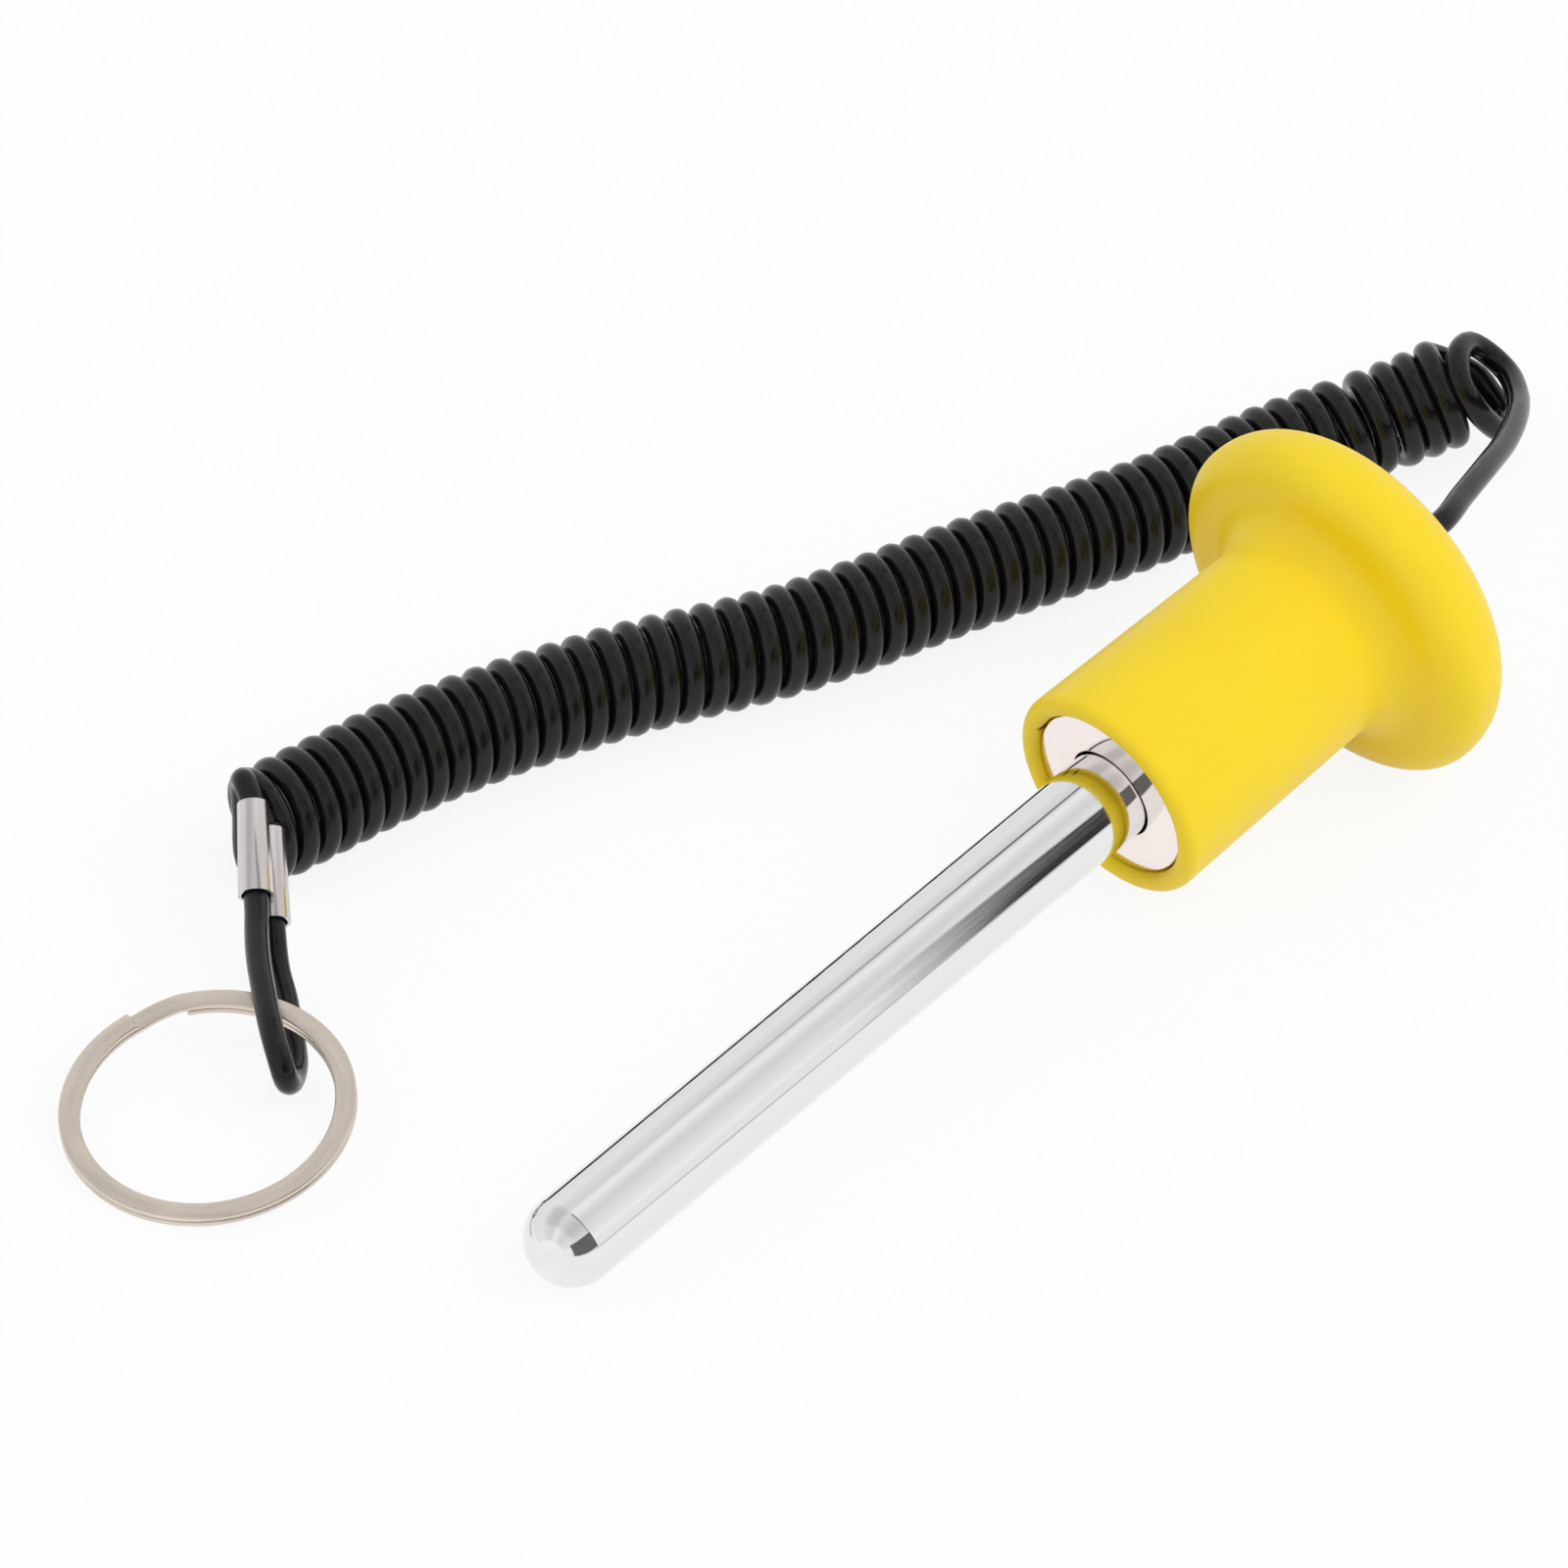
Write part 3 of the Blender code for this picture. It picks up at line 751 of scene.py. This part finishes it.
def turning_marks(group, given):
    """Fine lines round the local X axis, as turning and tumbling leave them."""
    parts = separated(group, given["Vector"])
    flat = combined(group, Y=parts["Y"], Z=parts["Z"])
    radius = vector_math(group, "LENGTH", {0: flat}, "Value")
    outward = vector_math(group, "NORMALIZE", {0: flat})
    around = vector_math(group, "SCALE", {0: outward, "Scale": given["Breaks per Turn"]})
    round_parts = separated(group, around)
    depth = calculate(group, "ADD", radius, parts["X"])
    lines = calculate(group, "MULTIPLY", depth, given["Lines per Metre"])
    place = combined(group, X=lines, Y=round_parts["Y"], Z=round_parts["Z"])
    return noise(group, place, 1.0, 4.0, 0.6), noise(group, place, 0.15, 1.0)


def new_group(fill, values):
    """A shader node group: a vector and named values in, a height and a tone out."""
    group = bpy.data.node_groups.new(fill.__name__, "ShaderNodeTree")
    sockets = group.interface
    sockets.new_socket(name="Vector", in_out="INPUT", socket_type="NodeSocketVector")
    for name, default in values.items():
        made = sockets.new_socket(name=name, in_out="INPUT", socket_type="NodeSocketFloat")
        made.default_value = default
    for name in ("Height", "Tone"):
        sockets.new_socket(name=name, in_out="OUTPUT", socket_type="NodeSocketFloat")
    height, tone = fill(group, add_node(group, "NodeGroupInput").outputs)
    add_node(group, "NodeGroupOutput", {"Height": height, "Tone": tone})
    return group


def place_group(tree, fill, vector, values):
    """The height and the tone of a shared node group, which its first use builds."""
    group = bpy.data.node_groups.get(fill.__name__) or new_group(fill, values)
    inputs = {"Vector": vector, **values}
    return add_node(tree, "ShaderNodeGroup", inputs, node_tree=group).outputs


# Surfaces


def object_coordinates(tree):
    """A place on the piece, in metres."""
    return add_node(tree, "ShaderNodeTexCoord").outputs["Object"]


def local_coordinates(tree, matrix):
    """Object coordinates as seen from a piece's own frame."""
    values = {
        "Vector": object_coordinates(tree), "Location": matrix.to_translation(),
        "Rotation": matrix.to_euler("XYZ"),
    }
    return add_node(tree, "ShaderNodeMapping", values, vector_type="TEXTURE").outputs["Vector"]


def emptied(holder):
    """The node tree of a material or a world, without its nodes."""
    holder.use_nodes = True
    holder.node_tree.nodes.clear()
    return holder.node_tree


def new_surface(name, values):
    """A material whose Principled BSDF has the given plain values."""
    surface = bpy.data.materials.new(name)
    surface.use_nodes = True
    shader = surface.node_tree.nodes["Principled BSDF"]
    feed(surface.node_tree, shader, values)
    return surface, surface.node_tree, shader


def dress(tree, shader, base, gloss, roughness, height, relief):
    """Give a shader its colour, its roughness by a mask and its relief by a height."""
    strength, distance = relief
    values = {"Height": height, "Strength": strength, "Distance": distance}
    bump = add_node(tree, "ShaderNodeBump", values)
    looks = {
        "Base Color": base, "Roughness": vary(tree, gloss, *roughness),
        "Normal": bump.outputs["Normal"],
    }
    feed(tree, shader, looks)


def marked_metal(name, colour, dark_share, matrix, fill, marks, roughness, relief):
    """Metal with fine marks in a frame of its own, which vary its colour, gloss and relief."""
    surface, tree, shader = new_surface(name, {"Metallic": 1.0})
    masks = place_group(tree, fill, local_coordinates(tree, matrix), marks)
    tone = vary(tree, masks["Tone"], 0.0, 1.0)
    base = tint(tree, tone, scaled(colour, dark_share), colour)
    dress(tree, shader, base, masks["Height"], roughness, masks["Height"], relief)
    return surface


def mirror_chrome(colour):
    """Chromed steel with faint lengthwise polishing lines."""
    return marked_metal(
        "mirror_chrome", colour, dark_share=0.94, matrix=pin_frame(), fill=drawn_lines,
        marks={"Lines per Metre": 2600.0, "Breaks per Metre": 40.0},
        roughness=(0.04, 0.11), relief=(0.10, 0.00002),
    )


def magnet_nickel(colour):
    """Bright nickel plating with very faint marks round the axis."""
    return marked_metal(
        "magnet_nickel", colour, dark_share=0.95, matrix=pin_frame(), fill=turning_marks,
        marks={"Lines per Metre": 3000.0, "Breaks per Turn": 2.0},
        roughness=(0.05, 0.12), relief=(0.04, 0.00002),
    )


def aluminium_with_painted_bands(colour):
    """Drawn aluminium tube with lengthwise lines, made once for the stop and the sleeve. Its deep
    lengthwise tone bands are painted reflection as well as drawing marks.
    """
    return bpy.data.materials.get("aluminium_with_painted_bands") or marked_metal(
        # A dark_share of 0.78 makes the lengthwise tone bands painted reflection, over the real
        # drawing marks.
        "aluminium_with_painted_bands", colour, dark_share=0.78, matrix=sleeve_frame(), fill=drawn_lines,
        marks={"Lines per Metre": 9000.0, "Breaks per Metre": 120.0},
        roughness=(0.14, 0.26), relief=(0.2, 0.00002),
    )


def tumbled_nickel(colour):
    """Nickel-plated strip with fine lines along its turns."""
    across = ring_frame() @ Matrix.Rotation(-math.pi / 2, 4, "Y")
    return marked_metal(
        "tumbled_nickel", colour, dark_share=0.86, matrix=across, fill=turning_marks,
        marks={"Lines per Metre": 7000.0, "Breaks per Turn": 14.0},
        roughness=(0.24, 0.42), relief=(0.25, 0.00003),
    )


def yellow_plastic(colour):
    """Satin moulded plastic: fine grain, a slightly uneven depth of colour and specks of glue."""
    surface, tree, shader = new_surface(
        "yellow_plastic",
        {
            "Subsurface Weight": 0.12, "Subsurface Scale": 0.002,
            "Subsurface Radius": (1.0, 0.6, 0.1), "IOR": 1.49, "Specular IOR Level": 0.4,
        },
    )
    own = local_coordinates(tree, pin_frame())
    grain = place_group(
        tree, fine_grain, own, {"Grain per Metre": 3500.0, "Unevenness per Metre": 90.0}
    )
    deep = (colour[0] * 0.97, colour[1] * 0.94, colour[2])
    base = tint(tree, vary(tree, grain["Tone"], 0.0, 1.0), deep, colour)
    reach = MAGNET_RADIUS + SEAT_GAP
    for angle, spread in GLUE_SPECKS:
        middle = (0, reach * math.sin(angle), reach * math.cos(angle))
        away = vector_math(tree, "DISTANCE", {0: own, 1: middle}, "Value")
        stain = between(tree, away, spread / 2, spread, 1.0, 0.0)
        base = tint(tree, stain, base, GLUE_COLOUR)
    dress(tree, shader, base, grain["Tone"], (0.40, 0.50), grain["Height"], (0.12, 0.00004))
    return surface


def black_sheath(colour):
    """Extruded black plastic: half gloss, slightly uneven."""
    surface, tree, shader = new_surface(
        "black_sheath", {"IOR": 1.5, "Specular IOR Level": 0.28}
    )
    grain = place_group(
        tree, fine_grain, object_coordinates(tree),
        {"Grain per Metre": 4000.0, "Unevenness per Metre": 500.0},
    )
    tone = vary(tree, grain["Tone"], 0.0, 1.0)
    base = tint(tree, tone, scaled(colour, 0.7), scaled(colour, 1.3))
    dress(tree, shader, base, grain["Tone"], (0.12, 0.26), grain["Tone"], (0.25, 0.00012))
    return surface


# Operators


class STACKPIN_OT_curly_cord(bpy.types.Operator):
    """Make the cord: lead, curly part and loop in one line"""

    bl_idname = "stackpin.curly_cord"
    bl_label = "Curly Cord"
    bl_options = {"REGISTER", "UNDO"}

    def execute(self, context):
        settings = context.scene.stack_pin.cord
        route = cord_route(settings.turns, settings.coil_share, settings.points_per_turn)
        curve = bpy.data.curves.new("curly_cord", "CURVE")
        curve.dimensions = "3D"
        curve.bevel_depth = CORD_RADIUS
        curve.bevel_resolution = 8
        curve.use_fill_caps = True
        spline = curve.splines.new("POLY")
        spline.points.add(len(route) - 1)
        for point, place in zip(spline.points, route):
            point.co = (*place, 1.0)
        spline.use_smooth = True
        cord = add_piece(
            "curly_cord", curve, black_sheath(tuple(settings.colour)), BODY
        )
        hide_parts("cord_lead", "cord_coil", "cord_loop")
        return {"FINISHED"}


class STACKPIN_OT_grip(bpy.types.Operator):
    """Make the moulded grip and dress the stop inside it"""

    bl_idname = "stackpin.grip"
    bl_label = "Grip"
    bl_options = {"REGISTER", "UNDO"}

    def execute(self, context):
        settings = context.scene.stack_pin.grip
        grip = turned_piece(
            "moulded_grip", grip_outline(), settings.sides,
            yellow_plastic(tuple(settings.colour)),
        )
        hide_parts("grip_knob")
        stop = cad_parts["cord_stop"]
        colour = context.scene.stack_pin.fittings.sleeve_colour
        stop.data.materials.clear()
        stop.data.materials.append(aluminium_with_painted_bands(tuple(colour)))
        return {"FINISHED"}


class STACKPIN_OT_pin(bpy.types.Operator):
    """Make the chromed pin and the ring magnet"""

    bl_idname = "stackpin.pin"
    bl_label = "Pin and Magnet"
    bl_options = {"REGISTER", "UNDO"}

    def execute(self, context):
        settings = context.scene.stack_pin.pin
        sides = context.scene.stack_pin.grip.sides
        pin = turned_piece(
            "chromed_pin", pin_outline(), sides, mirror_chrome(tuple(settings.chrome_colour)),
            closed=False, sharp_angle=4,
        )
        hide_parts("pin_shaft")
        magnet = turned_piece(
            "plated_magnet", magnet_outline(), sides,
            magnet_nickel(tuple(settings.magnet_colour)),
        )
        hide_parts("ring_magnet")
        return {"FINISHED"}


class STACKPIN_OT_sleeve(bpy.types.Operator):
    """Make the crimped sleeve with two barrels"""

    bl_idname = "stackpin.sleeve"
    bl_label = "Crimp Sleeve"
    bl_options = {"REGISTER", "UNDO"}

    def bar(self, name, offset, radius, mouth_radius, overrun):
        """A bar or cone along one barrel, in the sleeve's own frame."""
        length = sleeve_length()
        slope = (mouth_radius - radius) / length
        bm = bmesh.new()
        bmesh.ops.create_cone(
            bm, cap_ends=True, segments=SLEEVE_SIDES, radius1=radius - slope * overrun,
            radius2=mouth_radius + slope * overrun, depth=length + 2 * overrun,
        )
        middle = length / 2 + SLEEVE_SHIFT * offset / SLEEVE_SPACING
        bm.transform(
            Matrix.Translation((middle, 0, offset)) @ Matrix.Rotation(math.pi / 2, 4, "Y")
        )
        return new_object(name, finished_mesh(name, bm))

    def execute(self, context):
        settings = context.scene.stack_pin.fittings
        blank = self.bar("upper_bar", 0, SLEEVE_RADIUS, SLEEVE_MOUTH_RADIUS, 0)
        lower = self.bar("lower_bar", SLEEVE_SPACING, SLEEVE_RADIUS, SLEEVE_MOUTH_RADIUS, 0)
        tools = [(lower, "UNION")]
        for name, offset in (("upper_bore", 0), ("lower_bore", SLEEVE_SPACING)):
            bore = self.bar(
                name, offset, SLEEVE_BORE_RADIUS, SLEEVE_BORE_MOUTH_RADIUS, SLEEVE_RADIUS
            )
            tools.append((bore, "DIFFERENCE"))
        for tool, operation in tools:
            step = blank.modifiers.new(tool.name, "BOOLEAN")
            step.operation = operation
            step.object = tool
            step.solver = "EXACT"
        bpy.context.view_layer.update()
        shaped = blank.evaluated_get(context.evaluated_depsgraph_get())
        bm = bmesh.new()
        bm.from_mesh(shaped.to_mesh())
        shaped.to_mesh_clear()
        for made in [blank] + [tool for tool, _ in tools]:
            bpy.data.objects.remove(made, do_unlink=True)

        bmesh.ops.remove_doubles(bm, verts=bm.verts, dist=MERGE_DISTANCE)
        length = sleeve_length()
        ends = (0, length, SLEEVE_SHIFT, SLEEVE_SHIFT + length)
        rims = [
            edge for edge in bm.edges
            if len(edge.link_faces) == 2 and edge.calc_face_angle() > CORNER_ANGLE
            and any(
                all(abs(vert.co.x - end) < SLEEVE_END_PLAY for vert in edge.verts)
                for end in ends
            )
        ]
        rounded(bm, rims, SLEEVE_EDGE_ROUND)
        bm.transform(sleeve_frame())
        sleeve = add_piece(
            "double_barrel_sleeve", finished_mesh("double_barrel_sleeve", bm),
            aluminium_with_painted_bands(tuple(settings.sleeve_colour)), BODY,
        )
        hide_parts("crimp_sleeve")
        return {"FINISHED"}


class STACKPIN_OT_split_ring(bpy.types.Operator):
    """Make the split ring from flat strip wound twice round"""

    bl_idname = "stackpin.split_ring"
    bl_label = "Split Ring"
    bl_options = {"REGISTER", "UNDO"}

    def execute(self, context):
        settings = context.scene.stack_pin.fittings
        level = (STRIP_THICKNESS + TURN_GAP) / 2
        bm = bmesh.new()
        bmesh.ops.create_grid(bm, x_segments=1, y_segments=1, size=0.5)
        section = (
            Matrix.Rotation(TOP_TURN[0], 4, "Z") @ Matrix.Translation((RING_RADIUS, 0, level))
            @ Matrix.Rotation(math.pi / 2, 4, "X")
            @ Matrix.Diagonal((STRIP_WIDTH, STRIP_THICKNESS, 1, 1))
        )
        bm.transform(section)
        edges = list(bm.edges)
        turns = (
            (TOP_TURN[1] - TOP_TURN[0], 0.0),
            (LOWER_TURN[0] - TOP_TURN[1], -2 * level),
            (LOWER_TURN[1] - LOWER_TURN[0], 0.0),
        )
        for angle, drop in turns:
            steps = max(RING_FEWEST_STEPS, round(angle / RING_STEP))
            swept = bmesh.ops.spin(
                bm, geom=edges, cent=(0, 0, 0), axis=(0, 0, 1), dvec=(0, 0, drop / steps),
                angle=angle, steps=steps, use_merge=False, use_duplicate=False,
            )
            edges = [item for item in swept["geom_last"] if isinstance(item, bmesh.types.BMEdge)]
        bmesh.ops.edgeloop_fill(bm, edges=edges)
        bm.normal_update()
        bmesh.ops.recalc_face_normals(bm, faces=bm.faces)
        corners = [edge for edge in bm.edges if edge.calc_face_angle(0.0) > CORNER_ANGLE]
        rounded(bm, corners, STRIP_BEVEL)
        bm.transform(ring_frame())
        ring = add_piece(
            "wound_split_ring", finished_mesh("wound_split_ring", bm),
            tumbled_nickel(tuple(settings.ring_colour)), RING_BODY,
        )
        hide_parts("split_ring")
        return {"FINISHED"}


class STACKPIN_OT_stage(bpy.types.Operator):
    """Make the floor, the lamps, the surroundings and the camera"""

    bl_idname = "stackpin.stage"
    bl_label = "Studio"
    bl_options = {"REGISTER", "UNDO"}

    def seen_directly(self, tree):
        """1 for what the camera sees straight or in a mirror or glass."""
        rays = add_node(tree, "ShaderNodeLightPath").outputs
        first = calculate(tree, "MAXIMUM", rays["Is Camera Ray"], rays["Is Glossy Ray"])
        return calculate(tree, "MAXIMUM", first, rays["Is Transmission Ray"])

    def blended(self, tree, share, first, second):
        """Two shaders mixed, with a share of the second."""
        return add_node(tree, "ShaderNodeMixShader", {0: share, 1: first, 2: second}).outputs[0]

    def floor(self, colour):
        """A pale floor that shows white and keeps the object's shadow."""
        bm = bmesh.new()
        bmesh.ops.create_grid(bm, x_segments=1, y_segments=1, size=FLOOR_REACH)
        ground = new_object("studio_floor", finished_mesh("studio_floor", bm))
        surface = bpy.data.materials.new("studio_floor")
        tree = emptied(surface)
        paint = add_node(tree, "ShaderNodeBsdfDiffuse", {"Color": (*colour, 1.0)})
        glow = add_node(tree, "ShaderNodeEmission", {"Color": WHITE, "Strength": 1.0})
        share = calculate(tree, "MULTIPLY", self.seen_directly(tree), FLOOR_GLOW)
        mix = self.blended(tree, share, paint.outputs["BSDF"], glow.outputs["Emission"])
        add_node(tree, "ShaderNodeOutputMaterial", {"Surface": mix})
        ground.data.materials.append(surface)

    def surroundings(self, scene):
        """White to the camera and in mirrors, and plain grey as light."""
        world = bpy.data.worlds.new("studio")
        scene.world = world
        tree = emptied(world)
        light = {"Color": SKY_COLOUR, "Strength": SKY_STRENGTH}
        plain = add_node(tree, "ShaderNodeBackground", light).outputs["Background"]
        white = add_node(tree, "ShaderNodeBackground", {"Color": WHITE, "Strength": 1.0})
        direct = self.seen_directly(tree)
        mix = self.blended(tree, direct, plain, white.outputs["Background"])
        add_node(tree, "ShaderNodeOutputWorld", {"Surface": mix})

    def lamp(self, name, place, size, power):
        """A square soft lamp that faces the origin and shows in no reflection."""
        data = bpy.data.lights.new(name, "AREA")
        data.shape = "SQUARE"
        data.size = size
        data.energy = power
        made = new_object(name, data)
        made.location = place
        made.rotation_euler = (-Vector(place)).to_track_quat("-Z", "Y").to_euler()
        made.visible_glossy = False

    def window(self, tree, value, low, high, soft):
        """One between two values, falling to nothing past them."""
        enter = between(tree, value, low - soft, low, 0.0, 1.0)
        leave = between(tree, value, high, high + soft, 1.0, 0.0)
        return calculate(tree, "MULTIPLY", enter, leave)

    def bands(self, tree, turn):
        """The tent's brightness round the pin."""
        round_share = between(tree, turn, -math.pi, math.pi, 0.0, 1.0)
        ramp = add_node(tree, "ShaderNodeValToRGB", {"Fac": round_share})
        stops = ramp.color_ramp.elements
        while len(stops) > 1:
            stops.remove(stops[-1])
        for index, (degrees, grey) in enumerate(TENT_BANDS):
            position = (degrees + 180) / 360
            stop = stops.new(position) if index else stops[0]
            stop.position = position
            stop.color = (grey, grey, grey, 1.0)
        return ramp.outputs["Color"]

    def seam(self, tree, axial, degrees):
        """The share of light that the tent's seam takes away."""
        offset = calculate(tree, "SUBTRACT", degrees, SEAM_MIDDLE)
        away = calculate(tree, "ABSOLUTE", offset)
        line = between(tree, away, *SEAM_SPREAD, 1.0, 0.0)
        return calculate(
            tree, "MULTIPLY", line, between(tree, axial, *SEAM_PLACE, 0.0, SEAM_SHARE)
        )

    def dark_side(self, tree, axial, turn, degrees):
        """The share of light that the tent's dark side takes away."""
        place = combined(
            tree, X=calculate(tree, "MULTIPLY", axial, SIDE_WAVES_PER_METRE),
            Y=calculate(tree, "MULTIPLY", turn, SIDE_WAVES_PER_RADIAN),
        )
        ragged = vary(tree, noise(tree, place, 1.0, 3.0), -SIDE_RAGGED, SIDE_RAGGED)
        shifted = calculate(tree, "ADD", axial, ragged)
        depth = between(tree, shifted, *SIDE_PLACE, 0.0, SIDE_SHARE)
        slant = calculate(tree, "MULTIPLY", axial, SIDE_SLANT_PER_METRE)
        level = calculate(tree, "ADD", degrees, slant)
        below = between(tree, level, *SIDE_UPPER_EDGE, 1.0, 0.0)
        above = between(tree, degrees, *SIDE_LOWER_EDGE, 0.0, 1.0)
        side = calculate(tree, "MULTIPLY", below, above)
        return calculate(tree, "MULTIPLY", side, depth)

    def tent(self):
        """A light tent round the pin, with bands and dark places, that only reflections show."""
        ends = [(-TENT_HALF_LENGTH, TENT_RADIUS), (TENT_HALF_LENGTH, TENT_RADIUS)]
        bm = spun(ends, TENT_SIDES, closed=False)
        bm.transform(pin_frame())
        cloth = new_object("light_tent", finished_mesh("light_tent", bm))
        cloth.visible_camera = False
        cloth.visible_diffuse = False
        cloth.visible_transmission = False
        cloth.visible_shadow = False
        surface = bpy.data.materials.new("light_tent")
        tree = emptied(surface)
        parts = separated(tree, local_coordinates(tree, pin_frame()))
        axial = parts["X"]
        turn = calculate(tree, "ARCTAN2", parts["Y"], parts["Z"])
        degrees = calculate(tree, "DEGREES", turn)
        seam = self.seam(tree, axial, degrees)
        dark = calculate(tree, "MAXIMUM", seam, self.dark_side(tree, axial, turn, degrees))
        for start, end, first, last, soft_end, soft_side, share in TENT_SCREENS:
            along = self.window(tree, axial, start, end, soft_end)
            around = self.window(tree, degrees, first, last, soft_side)
            screen = calculate(tree, "MULTIPLY", along, around)
            dark = calculate(tree, "MAXIMUM", dark, calculate(tree, "MULTIPLY", screen, share))
        strength = calculate(tree, "SUBTRACT", 1.0, dark)
        glow = add_node(
            tree, "ShaderNodeEmission", {"Color": self.bands(tree, turn), "Strength": strength}
        )
        add_node(tree, "ShaderNodeOutputMaterial", {"Surface": glow.outputs["Emission"]})
        cloth.data.materials.append(surface)

    def camera(self, scene, focal_length):
        """A long lens at the photograph's place."""
        data = bpy.data.cameras.new("photo_camera")
        data.lens = focal_length
        data.sensor_width = 36.0
        data.clip_start = 0.1
        data.clip_end = 20.0
        made = new_object("photo_camera", data)
        made.location = CAMERA_PLACE
        sight = Vector(CAMERA_TARGET) - Vector(CAMERA_PLACE)
        made.rotation_euler = sight.to_track_quat("-Z", "Y").to_euler()
        scene.camera = made

    def execute(self, context):
        settings = context.scene.stack_pin.stage
        self.floor(tuple(settings.floor_colour))
        self.surroundings(context.scene)
        self.tent()
        self.lamp("key_lamp", *KEY_LAMP, settings.key_power)
        self.lamp("fill_lamp", *FILL_LAMP, settings.fill_power)
        self.camera(context.scene, settings.focal_length)
        context.scene.view_settings.view_transform = "Standard"
        return {"FINISHED"}


class STACKPIN_PT_pieces(bpy.types.Panel):
    """Lists the pieces and their settings"""

    bl_idname = "STACKPIN_PT_pieces"
    bl_label = "Weight Stack Pin"
    bl_space_type = "VIEW_3D"
    bl_region_type = "UI"
    bl_category = "Stack Pin"

    def draw(self, context):
        settings = context.scene.stack_pin
        rows = (
            (STACKPIN_OT_grip, settings.grip, ("colour", "sides")),
            (STACKPIN_OT_pin, settings.pin, ("chrome_colour", "magnet_colour")),
            (STACKPIN_OT_sleeve, settings.fittings, ("sleeve_colour",)),
            (
                STACKPIN_OT_curly_cord, settings.cord,
                ("turns", "coil_share", "points_per_turn", "colour"),
            ),
            (STACKPIN_OT_split_ring, settings.fittings, ("ring_colour",)),
            (
                STACKPIN_OT_stage, settings.stage,
                ("floor_colour", "key_power", "fill_power", "focal_length"),
            ),
        )
        for operator, group, names in rows:
            box = self.layout.box()
            for name in names:
                box.prop(group, name)
            box.operator(operator.bl_idname)


CLASSES = (
    GripSettings, PinSettings, CordSettings, FittingSettings, StageSettings, StackPinSettings,
    STACKPIN_OT_grip, STACKPIN_OT_pin, STACKPIN_OT_sleeve, STACKPIN_OT_curly_cord,
    STACKPIN_OT_split_ring, STACKPIN_OT_stage, STACKPIN_PT_pieces,
)


def register():
    for item in CLASSES:
        bpy.utils.register_class(item)
    bpy.types.Scene.stack_pin = PointerProperty(type=StackPinSettings)


def unregister():
    del bpy.types.Scene.stack_pin
    for item in reversed(CLASSES):
        bpy.utils.unregister_class(item)


def main():
    register()
    bpy.ops.stackpin.grip()
    bpy.ops.stackpin.pin()
    bpy.ops.stackpin.sleeve()
    bpy.ops.stackpin.curly_cord()
    bpy.ops.stackpin.split_ring()
    bpy.ops.stackpin.stage()


if __name__ == "__main__":
    main()
